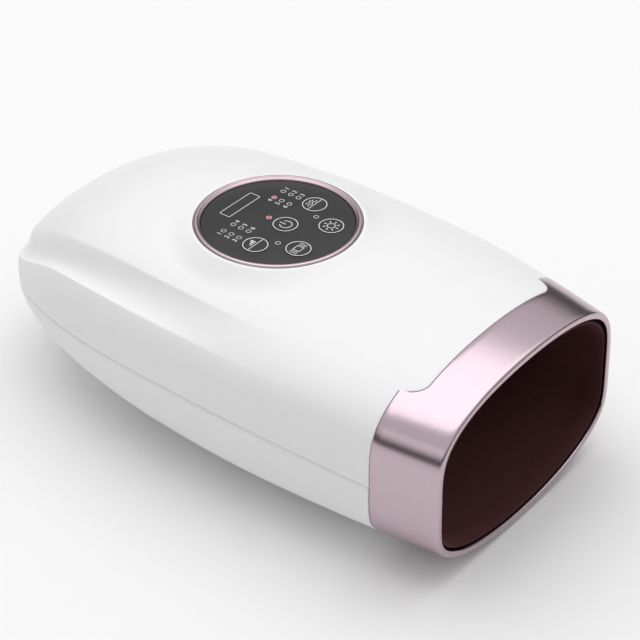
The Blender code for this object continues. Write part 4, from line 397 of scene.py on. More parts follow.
def section_power(along):
    """Squareness of the cross-section."""
    share = np.asarray(along, dtype=float) / BODY_LENGTH
    return between(SECTION_POWER_MOUTH, SECTION_POWER_REAR, share)


def unit_height(across, power):
    """Height of the unit section over a share of the half width."""
    return np.maximum(0.0, 1 - np.abs(across) ** power) ** (1 / power)


def skin(along, across, up, side_inset=0.0, top_inset=0.0):
    """Points of the skin, or of a surface inside it, as an array whose last axis is x, y and z."""
    along, across, up = np.broadcast_arrays(*(np.asarray(v, dtype=float) for v in (along, across, up)))
    width = half_width(along)
    fullness = width / HALF_WIDTH
    seam = seam_height(along)
    share = along / BODY_LENGTH
    drop = between(CROWN_DROP_MOUTH, CROWN_DROP_REAR, share) * fullness
    rise = between(KEEL_RISE_MOUTH, KEEL_RISE_REAR, share) * fullness
    top_reach = np.maximum(0.0, crown_height(along) - top_inset - seam)
    keel_reach = np.maximum(0.0, seam - keel_height(along) - top_inset)
    above = seam + (top_reach - np.minimum(drop, top_reach * BOW_SHARE) * across**2) * up
    below = seam + (keel_reach - np.minimum(rise, keel_reach * BOW_SHARE) * across**2) * up
    height = np.where(up >= 0, above, below)
    lean = MOUTH_LEAN * height / MOUTH_CROWN_HEIGHT * np.maximum(0.0, 1 - along / MOUTH_LEAN_REACH)
    return np.stack([across * np.maximum(0.0, width - side_inset), along + lean, height], axis=-1)


def quarter_section(along, side, stops, counts):
    """Shares across and up for a quarter of a section, from the middle out, even in each band."""
    power = float(section_power(along))
    width = float(half_width(along))
    seam = float(seam_height(along))
    reach = float(crown_height(along)) - seam if side > 0 else seam - float(keel_height(along))
    corner = 0.5 ** (1 / power)
    first = np.linspace(0.0, corner, ARC_STEPS)
    second = np.linspace(corner, 0.0, ARC_STEPS)[1:]
    across = np.concatenate([first, (1 - second**power) ** (1 / power)])
    up = np.concatenate([unit_height(first, power), second])
    steps = np.hypot(np.diff(across) * max(width, MERGE), np.diff(up) * max(reach, MERGE))
    arc = np.concatenate([[0.0], np.cumsum(steps)])
    ends = [0.0] + [float(np.interp(stop, across, arc)) for stop in stops] + [arc[-1]]
    wanted = [np.linspace(a, b, n + 1)[:-1] for a, b, n in zip(ends, ends[1:], counts)]
    wanted = np.concatenate(wanted + [[arc[-1]]])
    return np.interp(wanted, arc, across), np.interp(wanted, arc, up) * side


def half_section(along, side, stops, counts):
    """Shares across and up from the left seam over the middle to the right seam."""
    across, up = quarter_section(along, side, stops, counts)
    return np.concatenate([-across[:0:-1], across]), np.concatenate([up[:0:-1], up])


def full_section(along, top_stops, top_counts, keel_stops, keel_counts):
    """Shares across and up once round, from the left seam over the top and back under the keel."""
    top = half_section(along, 1, top_stops, top_counts)
    keel = half_section(along, -1, keel_stops, keel_counts)
    across = np.concatenate([top[0][:-1], keel[0][:0:-1]])
    up = np.concatenate([top[1][:-1], keel[1][:0:-1]])
    return across, up


def cove_stops(along):
    """Shares across where the groove starts and ends."""
    turn = float(ease(along, COVE_TURNS_AT, COVE_TURNED_AT))
    head = between(COVE_HEAD_SHARE, COVE_REAR_HEAD_SHARE, turn)
    return head, between(COVE_FOOT_SHARE, COVE_REAR_FOOT_SHARE, turn)


def upper_stops(along):
    """Shares across that bound the bands of columns: narrow ones lie beside the groove's two folds."""
    head, foot = cove_stops(along)
    return head - FOLD_SHARE, head, head + FOLD_SHARE, foot - FOLD_SHARE, foot, foot + FOLD_SHARE / 2


def body_rows(start):
    """Lengths from the mouth of the rows that both shells have, from the collar to near the tip."""
    front = between(start, BLOCK_FROM, np.linspace(0.0, 1.0, FRONT_ROWS))[:-1]
    block = np.linspace(BLOCK_FROM, BLOCK_TO, BLOCK_ROWS)
    return front, block, rows_by_arc(BLOCK_TO, TIP_ROW_AT, REAR_ROWS)[1:]


def tip_row(side, inset, count):
    """A row at the one point where all rows of a shell end, over the seam or under it."""
    end = np.array([0.0, BODY_LENGTH - inset, float(seam_height(BODY_LENGTH)) + side * GAP / 2])
    return np.tile(end, (count, 1))


def walls(body, outer, inner, skip=None):
    """Faces of a shell's outer and inner grids, and of the rims that join them."""
    body.grid(outer, skip=skip)
    body.grid(inner, skip=skip)
    body.grid(np.array([outer[0], inner[0]]))
    for side in (0, -1):
        body.grid(np.array([outer[:, side], inner[:, side]]))


def rows_by_arc(start, end, count):
    """Lengths from the mouth, even along the outline seen from above and from the side."""
    fine = end - (end - start) * np.linspace(1.0, 0.0, OUTLINE_STEPS) ** 3
    width = half_width(fine)
    reach = crown_height(fine) - keel_height(fine)
    steps = np.sqrt(np.diff(fine) ** 2 + np.diff(width) ** 2 + (0.5 * np.diff(reach)) ** 2)
    arc = np.concatenate([[0.0], np.cumsum(steps)])
    return np.interp(np.linspace(0.0, arc[-1], count), arc, fine)


def collar_edge(across):
    """Depth of the collar's rear edge, with its notch on the top."""
    across = np.abs(np.asarray(across, dtype=float))
    middle = 1 - np.clip(across / NOTCH_START_SHARE, 0, 1) ** 2
    top = between(COLLAR_TOP_DEPTH, COLLAR_CENTRE_DEPTH, middle)
    turn = np.clip((across - NOTCH_START_SHARE) / (NOTCH_CORNER_SHARE - NOTCH_START_SHARE), 0.0, 1.0)
    bend = COLLAR_SIDE_DEPTH - (COLLAR_SIDE_DEPTH - COLLAR_TOP_DEPTH) * np.sqrt(1 - turn**2)
    outside = np.where(across >= NOTCH_CORNER_SHARE, COLLAR_SIDE_DEPTH, bend)
    return np.where(across <= NOTCH_START_SHARE, top, outside)


def seated(points, rim=PANEL_RIM_HEIGHT):
    """The same points with the flat seat of the panel and the slope round it raised out of the top."""
    radius = np.hypot(points[..., 0], points[..., 1] - PANEL_AT)
    fall = np.clip((radius - PANEL_RIM_RADIUS) / (PANEL_BLEND_RADIUS - PANEL_RIM_RADIUS), 0.0, 1.0)
    raised = points.copy()
    raised[..., 2] = points[..., 2] + (rim - points[..., 2]) * (1 - fall) ** 2
    return raised


def top_point(x, along, inset=0.0):
    """Point of the top, or of its inner face, over a place seen from above."""
    across = x / (half_width(along) - inset)
    up = unit_height(across, section_power(along))
    return seated(skin(along, across, up, inset, inset), PANEL_RIM_HEIGHT - inset)


class Sheet:
    """Collects points and faces, and makes one mesh of them in the row frame."""

    def __init__(self):
        self.points = []
        self.faces = []
        self.weave = []

    def add(self, points, weave=None):
        """Adds points, with their places in the weave, and returns their numbers in the same layout."""
        points = np.asarray(points, dtype=float)
        flat = points.reshape(-1, 3)
        first = len(self.points)
        self.points.extend(map(tuple, flat))
        woven = flat if weave is None else np.asarray(weave, dtype=float).reshape(-1, 3)
        self.weave.extend(map(tuple, woven))
        return np.arange(first, first + len(flat)).reshape(points.shape[:-1])

    def grid(self, numbers, closed=False, skip=None):
        """Quads over a grid of numbers. The faces look towards rows crossed with columns."""
        rows, columns = numbers.shape
        last = columns if closed else columns - 1
        for i in range(rows - 1):
            for j in range(last):
                if skip is not None and skip(i, j):
                    continue
                k = (j + 1) % columns
                self.faces.append((numbers[i, j], numbers[i, k], numbers[i + 1, k], numbers[i + 1, j]))

    def mesh(self, name, outward=True, weave=False):
        """A new object of the points and faces, moved to the row frame, with doubles merged."""
        made = bpy.data.meshes.new(name)
        places = [(x, y + ROW_SHIFT, z) for x, y, z in self.points]
        made.from_pydata(places, [], [tuple(map(int, face)) for face in self.faces])
        if weave:
            woven = made.attributes.new("weave", "FLOAT_VECTOR", "POINT")
            woven.data.foreach_set("vector", np.ravel(self.weave))
        with mesh_work(made) as work:
            bmesh.ops.remove_doubles(work, verts=work.verts, dist=MERGE)
            if outward:
                bmesh.ops.recalc_face_normals(work, faces=work.faces)
        return smooth_piece(name, made)


def ringed(name, rings):
    """A closed piece from rings of points."""
    body = Sheet()
    body.grid(body.add(np.array(rings)), closed=True)
    return body.mesh(name)


def placed(name, data):
    """A new object of that data, linked to the scene."""
    piece = bpy.data.objects.new(name, data)
    bpy.context.scene.collection.objects.link(piece)
    return piece


def smooth_piece(name, mesh):
    """A new piece of that mesh, with all its faces smooth."""
    mesh.polygons.foreach_set("use_smooth", [True] * len(mesh.polygons))
    return placed(name, mesh)


@contextmanager
def mesh_work(mesh):
    """Opens a mesh for work on its points and faces, and writes it back."""
    work = bmesh.new()
    work.from_mesh(mesh)
    yield work
    work.to_mesh(mesh)
    work.free()


def round_angles(count):
    """Angles spread evenly once round."""
    return np.linspace(0.0, 2 * math.pi, count, endpoint=False)


def faces_out(piece, centre):
    """Turns an open sheet's faces away from a centre, if they look towards it."""
    score = 0.0
    for face in piece.data.polygons:
        score += face.normal.dot(face.center - centre) * face.area
    if score < 0:
        piece.data.flip_normals()
    return piece


def settle(piece):
    """Applies the piece's modifiers."""
    graph = bpy.context.evaluated_depsgraph_get()
    made = bpy.data.meshes.new_from_object(piece.evaluated_get(graph), depsgraph=graph)
    old = piece.data
    piece.modifiers.clear()
    piece.data = made
    bpy.data.meshes.remove(old)
    return piece


def combined(piece, tool, operation):
    """Joins the tool's shape to the piece, takes it out of it, or keeps what both share."""
    bite = piece.modifiers.new("Shape", "BOOLEAN")
    bite.object = tool
    bite.operation = operation
    bite.solver = "EXACT"
    settle(piece)
    bpy.data.objects.remove(tool)
    with mesh_work(piece.data) as work:
        bmesh.ops.triangulate(work, faces=[face for face in work.faces if len(face.verts) > 4])
    return piece


def eased(piece, width, segments=2, angle=40.0):
    """Rounds the piece's sharp edges."""
    bevel = piece.modifiers.new("Edge", "BEVEL")
    bevel.width = width
    bevel.segments = segments
    bevel.limit_method = "ANGLE"
    bevel.angle_limit = math.radians(angle)
    bevel.harden_normals = False
    return settle(piece)


def smoothed(piece, angle=40.0):
    """Smooths the piece, and keeps edges past the angle sharp."""
    with mesh_work(piece.data) as work:
        for edge in work.edges:
            between_two = len(edge.link_faces) == 2
            edge.smooth = not (between_two and edge.calc_face_angle(0.0) > math.radians(angle))
        for face in work.faces:
            face.smooth = True
    return piece


def turned_mesh(name, profile, centre, segments):
    """A closed body turned round the upright line through a centre, from (radius, height) pairs."""
    angles = round_angles(segments)
    radii, heights = np.array(profile).T
    x = centre[0] + radii[:, None] * np.cos(angles)
    y = centre[1] - ROW_SHIFT + radii[:, None] * np.sin(angles)
    z = np.repeat(heights[:, None], segments, axis=1)
    return ringed(name, np.stack([x, y, z], axis=-1))


def dressed(piece, colour, body, nodes=(), slot=None):
    """Gives a finished piece its finish and its body, and hides the nodes it stands for. The slot is not
    used.
    """
    slot = slot or colour
    piece.data.materials.clear()
    piece.data.materials.append(finish(colour))
    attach(piece, body)
    if nodes:
        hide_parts(*nodes)
    return piece


# Materials ---------------------------------------------------------------------------------------


def fed(tree, kind, values, **settings):
    """A node with its settings made and its sockets linked to others or set."""
    node = tree.nodes.new(kind)
    for name, value in settings.items():
        setattr(node, name, value)
    for name, value in values.items():
        if isinstance(value, bpy.types.NodeSocket):
            tree.links.new(value, node.inputs[name])
        else:
            node.inputs[name].default_value = value
    return node


def object_place(tree):
    """The Object coordinates."""
    return tree.nodes.new("ShaderNodeTexCoord").outputs["Object"]


def mottle(tree, scale, detail=4.0, roughness=0.5, stretch=None):
    """A noise on Object coordinates, as its factor output."""
    place = object_place(tree)
    if stretch:
        place = fed(tree, "ShaderNodeMapping", {"Vector": place, "Scale": stretch}).outputs["Vector"]
    values = {"Vector": place, "Scale": scale, "Detail": detail, "Roughness": roughness}
    return fed(tree, "ShaderNodeTexNoise", values).outputs["Fac"]


def banding(tree, place, way, pitch, wobble):
    """Even bands across one direction, with a slight wobble, as a factor output."""
    values = {"Vector": place, "Scale": 2 * math.pi / (20 * pitch), "Distortion": wobble}
    values.update({"Detail": 2.0, "Detail Scale": 6.0})
    return fed(tree, "ShaderNodeTexWave", values, wave_type="BANDS", bands_direction=way).outputs["Fac"]


def weighted(tree, factor, weight, rest):
    """A factor times its weight, on top of another value."""
    values = {0: factor, 1: weight, 2: rest}
    return fed(tree, "ShaderNodeMath", values, operation="MULTIPLY_ADD").outputs[0]


def scaled(colour, share):
    """The colour times a share."""
    return tuple(part * share for part in colour)


def ramp(tree, factor, low, high, start=0.3, end=0.7):
    """A colour between two colours, as its output."""
    node = fed(tree, "ShaderNodeValToRGB", {"Fac": factor})
    for element, place, colour in zip(node.color_ramp.elements, (start, end), (low, high)):
        element.position = place
        element.color = (*colour, 1.0)
    return node.outputs["Color"]


def span(tree, factor, low, high):
    """A value that runs from low to high with the factor."""
    values = {"Value": factor, "To Min": low, "To Max": high}
    return fed(tree, "ShaderNodeMapRange", values).outputs["Result"]


def bump(tree, height, strength, distance):
    """Relief from a height output, as a normal."""
    values = {"Height": height, "Strength": strength, "Distance": distance}
    return fed(tree, "ShaderNodeBump", values).outputs["Normal"]


# Each of these makes the textures of a finish and gives the inputs of its shader.


def moulded(tree, colour, roughness, shade=0.06, grain=900.0, relief=0.00002, coat=0.0, specular=0.5):
    """Moulded plastic with a faint mottle and a fine relief."""
    tone = mottle(tree, 60.0, 3.0)
    return {
        "Base Color": ramp(tree, tone, scaled(colour, 1 - shade), colour),
        "Roughness": span(tree, tone, roughness * 0.9, roughness * 1.12),
        "Specular IOR Level": specular,
        "Coat Weight": coat,
        "Coat Roughness": 0.08,
        "Normal": bump(tree, mottle(tree, grain, 2.0), 0.25, relief),
    }


def metal(tree, colour, roughness, stretch=(1.0, 1.0, 1.0), shade=0.08):
    """Metal or metal-coloured coating with fine drawn marks."""
    marks = mottle(tree, 1400.0, 3.0, 0.6, stretch)
    return {
        "Base Color": ramp(tree, marks, scaled(colour, 1 - shade), colour),
        "Roughness": span(tree, marks, roughness * 0.94, roughness * 1.06),
        "Metallic": 1.0,
        "Normal": bump(tree, marks, 0.02, 0.000002),
    }


def ribbed_cloth(tree, dark, light, pitch):
    """Fine ribbed fabric: narrow wales along the body, a small weave between them and a soft sheen."""
    place = fed(tree, "ShaderNodeAttribute", {}, attribute_name="weave").outputs["Vector"]
    wales = banding(tree, place, "X", pitch, 0.35)
    relief = weighted(tree, banding(tree, place, "Y", pitch * 0.6, 0.8), 0.35, wales)
    tone = weighted(tree, mottle(tree, 38.0, 5.0, 0.6), 0.30, relief)
    return {
        "Base Color": ramp(tree, tone, dark, light, 0.25, 1.25),
        "Roughness": 0.74,
        "Sheen Weight": 0.25,
        "Sheen Roughness": 0.4,
        "Sheen Tint": (0.75, 0.30, 0.28, 1.0),
        "Specular IOR Level": 0.3,
        "Normal": bump(tree, relief, 0.7, 0.0002),
    }


def glowing(tree, colour, strength):
    """A lit lamp lens."""
    tone = ramp(tree, mottle(tree, 700.0, 1.0), scaled(colour, 0.8), colour)
    return {"Base Color": tone, "Emission Color": tone, "Emission Strength": strength, "Roughness": 0.3}


def clear(tree, colour, roughness, transmission):
    """A clear or misty moulding."""
    tone = mottle(tree, 90.0, 2.0)
    return {
        "Base Color": ramp(tree, tone, scaled(colour, 0.94), colour),
        "Roughness": span(tree, tone, roughness * 0.8, roughness * 1.2),
        "Transmission Weight": transmission,
        "IOR": 1.49,
    }


def cellular(tree, colour):
    """Open foam with small pores."""
    values = {"Vector": object_place(tree), "Scale": 900.0}
    pores = fed(tree, "ShaderNodeTexVoronoi", values).outputs["Distance"]
    return {
        "Base Color": ramp(tree, pores, scaled(colour, 0.6), colour, 0.1, 0.6),
        "Roughness": 0.95,
        "Normal": bump(tree, pores, 0.7, 0.0004),
    }


def laminate(tree, colour, track):
    """Circuit board: a lacquered sheet with a pattern of tracks under the lacquer."""
    values = {"Vector": object_place(tree), "Scale": 260.0}
    cells = fed(tree, "ShaderNodeTexVoronoi", values, feature="DISTANCE_TO_EDGE").outputs["Distance"]
    return {
        "Base Color": ramp(tree, cells, track, colour, 0.04, 0.09),
        "Roughness": 0.35,
        "Coat Weight": 0.5,
        "Normal": bump(tree, cells, 0.2, 0.00003),
    }


def recipes():
    """The maker of each finish, and the values it takes, in the order of the maker's own arguments."""
    colours = bpy.context.scene.massager_finishes
    rose, shine, panel = colours.metal_colour, colours.metal_roughness, colours.panel_colour
    floor = bpy.context.scene.massager_stage.floor_colour
    even = (1.0, 1.0, 1.0)
    return {
        "gloss_white": (moulded, colours.shell_colour, 0.44, 0.012, 1300.0, 0.000010, 0.06),
        "rose_metal": (metal, rose, shine, (0.12, 1.0, 0.12), 0.05),
        "rose_ring": (metal, rose, shine + 0.08, even, 0.06),
        "burgundy_fabric": (ribbed_cloth, colours.lining_dark, colours.lining_light, colours.rib_pitch),
        "panel_black": (moulded, panel, 0.40, 0.10, 1600.0, 0.000006, 0.0, 0.30),
        "key_grey": (moulded, scaled(panel, 1.06), 0.44, 0.08, 1800.0, 0.000006, 0.0, 0.30),
        "white_ink": (moulded, (0.83, 0.83, 0.83), 0.55, 0.05, 2500.0, 0.000003),
        "lamp_red": (glowing, colours.lamp_colour, 0.38),
        "lamp_unlit": (moulded, scaled(panel, 0.62), 0.30, 0.08, 1500.0, 0.000006),
        "frame_plastic": (moulded, (0.055, 0.050, 0.052), 0.50, 0.15, 1300.0, 0.00002),
        "bladder_film": (clear, (0.70, 0.72, 0.74), 0.35, 0.35),
        "foam": (cellular, (0.62, 0.60, 0.55)),
        "heater_film": (laminate, (0.42, 0.16, 0.05), (0.75, 0.45, 0.25)),
        "lamp_clear": (clear, (0.88, 0.89, 0.90), 0.15, 0.85),
        "board_green": (laminate, (0.015, 0.13, 0.05), (0.10, 0.32, 0.13)),
        "screw_steel": (metal, (0.58, 0.58, 0.60), 0.30, even, 0.20),
        "rubber_grey": (moulded, (0.12, 0.12, 0.125), 0.80, 0.20, 1200.0, 0.00004),
        "cell_blue": (moulded, (0.03, 0.10, 0.30), 0.28, 0.12, 800.0, 0.00001, 0.3),
        "valve_black": (moulded, (0.03, 0.03, 0.03), 0.45, 0.2, 900.0, 0.00002),
        "motor_steel": (metal, (0.50, 0.50, 0.52), 0.34, (0.2, 1.0, 1.0), 0.15),
        "hose_clear": (clear, (0.85, 0.86, 0.84), 0.25, 0.6),
        "inlet_black": (moulded, (0.02, 0.02, 0.02), 0.35, 0.2, 1100.0, 0.00001),
        "studio_floor": (moulded, floor, 0.9, 0.004, 300.0, 0.000005),
    }


FINISHES = {}


def finish(name):
    """The material of that finish, made once."""
    if name not in FINISHES:
        material = bpy.data.materials.new(name)
        material.use_nodes = True
        tree = material.node_tree
        tree.nodes.clear()
        maker, *values = recipes()[name]
        shader = fed(tree, "ShaderNodeBsdfPrincipled", maker(tree, *values))
        fed(tree, "ShaderNodeOutputMaterial", {"Surface": shader.outputs["BSDF"]})
        FINISHES[name] = material
    return FINISHES[name]


# Settings ----------------------------------------------------------------------------------------

COLOUR = {"subtype": "COLOR", "size": 3, "min": 0.0, "max": 1.0}
SHARE = {"subtype": "FACTOR", "min": 0.0, "max": 1.0}
LENGTH = {"subtype": "DISTANCE", "unit": "LENGTH"}
TURN = {"subtype": "ANGLE", "unit": "ROTATION"}


class MassagerFinishes(bpy.types.PropertyGroup):
    """Colours and finishes of the pieces that show."""

    shell_colour: FloatVectorProperty(
        name="Shell", description="White of the two shells", default=(0.87, 0.87, 0.88), **COLOUR
    )
    metal_colour: FloatVectorProperty(
        name="Collar and ring", description="Rose metal", default=(0.56, 0.445, 0.490), **COLOUR
    )
    metal_roughness: FloatProperty(
        name="Metal roughness", description="Roughness of the rose metal", default=0.22, **SHARE
    )
    lining_dark: FloatVectorProperty(
        name="Lining, dark", description="Dark tone of the lining", default=(0.014, 0.0035, 0.004), **COLOUR
    )
    lining_light: FloatVectorProperty(
        name="Lining, light", description="Light tone of the lining", default=(0.085, 0.020, 0.021), **COLOUR
    )
    rib_pitch: FloatProperty(
        name="Rib pitch", description="From rib to rib", min=0.0002, max=0.01, default=0.0010, **LENGTH
    )
    panel_colour: FloatVectorProperty(
        name="Panel", description="Dark grey of the panel", default=(0.030, 0.030, 0.031), **COLOUR
    )
    lamp_colour: FloatVectorProperty(
        name="Lit lamps", description="Red of the lamps that are on", default=(0.80, 0.012, 0.035), **COLOUR
    )


class MassagerMarkings(bpy.types.PropertyGroup):
    """Sizes of the printed marks and lamps."""

    line_width: FloatProperty(
        name="Line", description="Width of a printed line", min=0.0001, max=0.002, default=0.00042, **LENGTH
    )
    ink_height: FloatProperty(
        name="Ink", description="Height of the print", min=0.00001, max=0.0002, default=0.00004, **LENGTH
    )
    lamp_radius: FloatProperty(
        name="Lamp ring", description="Radius round a lamp", min=0.0005, max=0.004, default=0.00125, **LENGTH
    )
    digit_height: FloatProperty(
        name="Numbers", description="Height of a number", min=0.0005, max=0.01, default=0.0027, **LENGTH
    )


class MassagerStage(bpy.types.PropertyGroup):
    """Floor, light and camera."""

    camera_azimuth: FloatProperty(
        name="Azimuth", description="Turn of the camera round it", default=math.radians(-51.570), **TURN
    )
    camera_elevation: FloatProperty(
        name="Elevation", description="Lift of the camera", default=math.radians(35.591), **TURN
    )
    camera_distance: FloatProperty(
        name="Distance", description="Distance from the camera to its aim", min=0.1, default=1.1217, **LENGTH
    )
    lens: FloatProperty(
        name="Lens", description="Focal length on a 36 mm sensor", unit="CAMERA", min=10.0, default=120.8
    )
    floor_colour: FloatVectorProperty(
        name="Floor", description="Pale floor", default=(0.90, 0.90, 0.90), **COLOUR
    )
    key_power: FloatProperty(
        name="Top light", description="Power of the large light overhead", unit="POWER", min=0.0, default=30.0
    )
    fill_power: FloatProperty(
        name="Side light", description="Power of the light on the left", unit="POWER", min=0.0, default=0.5
    )
    room: FloatProperty(name="Room", description="Strength of the room's light", min=0.0, default=0.75)
    horizon: FloatProperty(
        name="Horizon", description="Strength of the dim band round the horizon", min=0.0, default=0.05
    )


# Operators ---------------------------------------------------------------------------------------


class MASSAGER_OT_upper_shell(bpy.types.Operator):
    """Makes the white upper shell, with its groove, the seat of the panel and the notch at the collar"""

    bl_idname = "massager.upper_shell"
    bl_label = "Upper shell"

    def execute(self, context):
        body = Sheet()
        middle = sum(UPPER_COUNTS)
        left, right = middle - BLOCK_COLUMNS, middle + BLOCK_COLUMNS
        front, block, _ = body_rows(COLLAR_SIDE_DEPTH + GAP / 2)
        first, last = len(front), len(front) + len(block) - 1
        insets = (0.0, SHELL_WALL)
        faces = [body.add(self.rows(inset)) for inset in insets]
        walls(body, *faces, skip=lambda i, j: first <= i < last and left <= j < right)
        rims = []
        for numbers, inset in zip(faces, insets):
            rims.append(self.ring_round_hole(body, numbers, first, last, left, right, inset))
        body.grid(np.array(rims), closed=True)
        shell = eased(body.mesh("upper_shell_skin"), SHELL_EDGE)
        dressed(shell, "gloss_white", "housing", ["upper_shell"])
        return {"FINISHED"}

    def rows(self, inset):
        """All rows of the outer face, or of the inner one, from the collar to the tip."""
        start = COLLAR_SIDE_DEPTH + GAP / 2
        front, block, rear = body_rows(start)
        across, up = half_section(start, 1, upper_stops(start), UPPER_COUNTS)
        edge = collar_edge(across) + GAP / 2
        rows = []
        for nominal in front:
            share = (nominal - start) / (BLOCK_FROM - start)
            rows.append(self.row(between(edge, BLOCK_FROM, share), across, up, inset))
        for along in np.concatenate([block, rear]):
            if inset and along > INNER_TIP_ROW_AT:
                rows.append(tip_row(1, inset, len(across)))
                continue
            across, up = half_section(along, 1, upper_stops(along), UPPER_COUNTS)
            rows.append(self.row(np.full(len(across), along), across, up, inset))
        rows.append(tip_row(1, inset, len(across)))
        return np.array(rows)

    def row(self, along, across, up, inset):
        """One row of the skin with the groove pressed in."""
        plain = seated(skin(along, across, up, inset, inset), PANEL_RIM_HEIGHT - inset)
        plain[..., 2] = np.maximum(plain[..., 2], seam_height(along) + GAP / 2)
        head, foot = cove_stops(float(np.mean(along)))
        power = section_power(along)
        strength = ease(along, COVE_STARTS_AT, COVE_FULL_AT)[..., None]
        side = np.sign(across)
        top = skin(along, head * side, unit_height(head, power), inset, inset)
        low = skin(along, foot * side, unit_height(foot, power), inset, inset)
        chord = low - top
        length = np.linalg.norm(chord, axis=-1) + TINY
        full = np.minimum(1.0, length / COVE_FULL_CHORD)
        depth = COVE_DEPTH * ease(along, COVE_STARTS_AT, COVE_TURNS_AT) * full
        share = np.clip(np.sum((plain - top) * chord, axis=-1) / length**2, 0.0, 1.0)
        inward = np.stack([chord[..., 2], np.zeros_like(share), -chord[..., 0]], axis=-1)
        inward = inward / (np.linalg.norm(inward, axis=-1, keepdims=True) + TINY)
        inward = np.where(inward[..., 2:3] > 0, -inward, inward)
        leaning = share ** between(1.0, COVE_LEAN, ease(along, COVE_FULL_AT, COVE_TURNED_AT))
        hollow = top + chord * share[..., None] + inward * (depth * 4 * leaning * (1 - leaning))[..., None]
        inside = (np.abs(across) > head) & (np.abs(across) < foot)
        return np.where(inside[..., None], plain * (1 - strength) + hollow * strength, plain)

    def ring_round_hole(self, body, numbers, first, last, left, right, inset):
        """Fills the block left open in the grid with rings round the panel's hole, and returns the inmost."""
        loop = [numbers[first, j] for j in range(left, right)]
        loop += [numbers[i, right] for i in range(first, last)]
        loop += [numbers[last, j] for j in range(right, left, -1)]
        loop += [numbers[i, left] for i in range(last, first, -1)]
        rim = np.array([body.points[n] for n in loop])
        angles = np.arctan2(rim[:, 1] - PANEL_AT, rim[:, 0])
        rings = []
        slope = np.linspace(SEAT_SLOPE_FROM, PANEL_BLEND_RADIUS, SEAT_SLOPE_RINGS)
        for radius in (*SEAT_RADII, *slope):
            x = radius * np.cos(angles)
            along = PANEL_AT + radius * np.sin(angles)
            rings.append(body.add(top_point(x, along, inset)))
        outer = np.stack([x, along], axis=-1)
        for share in (0.25, 0.5, 0.75):
            place = between(outer, rim[:, :2], share)
            rings.append(body.add(top_point(place[:, 0], place[:, 1], inset)))
        rings.append(np.array(loop))
        body.grid(np.array(rings), closed=True)
        return rings[0]


class MASSAGER_OT_lower_shell(bpy.types.Operator):
    """Makes the white lower shell, with its foot pads, screw wells and the pocket of the charging inlet"""

    bl_idname = "massager.lower_shell"
    bl_label = "Lower shell"

    def execute(self, context):
        body = Sheet()
        walls(body, *[body.add(self.rows(inset)) for inset in (0.0, SHELL_WALL)])
        shell = body.mesh("lower_shell_skin")
        self.posts_and_pocket(shell)
        self.foot_pads(shell)
        self.openings(shell)
        eased(shell, SHELL_EDGE)
        dressed(shell, "gloss_white", "housing", ["lower_shell"])
        return {"FINISHED"}

    def rows(self, inset):
        """All rows of the outer face, or of the inner one, from the collar to the tip."""
        rows = []
        for along in np.concatenate(body_rows(COLLAR_SIDE_DEPTH + GAP / 2)):
            across, up = half_section(along, -1, LOWER_STOPS, LOWER_COUNTS)
            row = skin(along, across, up, inset, inset)
            row[..., 2] = np.minimum(row[..., 2], seam_height(along) - GAP / 2)
            end = tip_row(-1, inset, len(across))
            rows.append(end if inset and along >= INNER_TIP_ROW_AT else row)
        rows.append(end)
        return np.array(rows)

    def posts_and_pocket(self, shell):
        """Adds the screw posts and the walls of the pocket, trimmed to the middle of the shell's wall."""
        tools = [round_bar(x, along, 0.0, top, POST_RADIUS) for x, along, _, top in screw_wells()]
        tools.append(inlet_bar(INLET_FACE_AT - POCKET_WALL, BODY_LENGTH + OVERRUN, POCKET_WALL))
        inside = joined("posts_tool", tools)
        combined(inside, core_solid(), "INTERSECT")
        combined(shell, inside, "UNION")

    def foot_pads(self, shell):
        """Adds the round pads that carry the feet."""
        profile = (
            (0.0, PAD_FOOT), (PAD_RADIUS - PAD_EDGE, PAD_FOOT), (PAD_RADIUS, PAD_FOOT + PAD_EDGE),
            (PAD_RADIUS + PAD_FLARE, None), (PAD_RADIUS * PAD_ROOT_SHARE, None), (0.0, None),
        )
        angles = round_angles(FOOT_SEGMENTS)
        pads = []
        for x, along in FEET.values():
            rings = []
            for radius, height in profile:
                across = x + radius * np.cos(angles)
                down = along + radius * np.sin(angles)
                inside = keel_under(across, down) + SHELL_WALL / 2
                level = inside if height is None else np.full(len(angles), height)
                rings.append(np.stack([across, down, level], axis=-1))
            pads.append(ringed("pad_tool", rings))
        combined(shell, joined("pads_tool", pads), "UNION")

    def openings(self, shell):
        """Cuts the wells of the screws, the recesses of the feet and the pocket."""
        tools, holes = [], []
        for x, along, seat, top in screw_wells():
            tools.append(round_bar(x, along, -OVERRUN, seat, WELL_RADIUS))
            low, high = seat - SCREW_HOLE_UNDER, top + SCREW_HOLE_OVER
            holes.append(round_bar(x, along, low, high, SCREW_HOLE_RADIUS))
        for x, along in FEET.values():
            tools.append(round_bar(x, along, -OVERRUN, FOOT_RECESS_TOP, FOOT_RADIUS + GAP))
        tools.append(inlet_bar(INLET_FACE_AT, BODY_LENGTH + 2 * OVERRUN, 0.0))
        holes.append(inlet_bar(INLET_FACE_AT - PORT_FROM, INLET_FACE_AT + PORT_TO, 0.0, PORT_SECTION))
        combined(shell, joined("wells_tool", tools), "DIFFERENCE")
        combined(shell, joined("holes_tool", holes), "DIFFERENCE")


def keel_under(x, along):
    """Height of the lower shell's skin under a place seen from above."""
    across = np.asarray(x) / half_width(along)
    return skin(along, across, -unit_height(across, section_power(along)))[..., 2]


def screw_wells():
    """Place, seat and post top of each screw that enters from below."""
    wells = []
    for x, along in CHAMBER_SCREWS:
        seat = float(keel_under(x, along)) + 2 * SCREW_HEAD_HEIGHT
        wells.append((x, along, seat, seat + SHELL_WALL))
    for x, along in REAR_SCREWS:
        split = float(seam_height(along)) - GAP / 2
        wells.append((x, along, split - REAR_POST_FLOOR, split))
    return wells


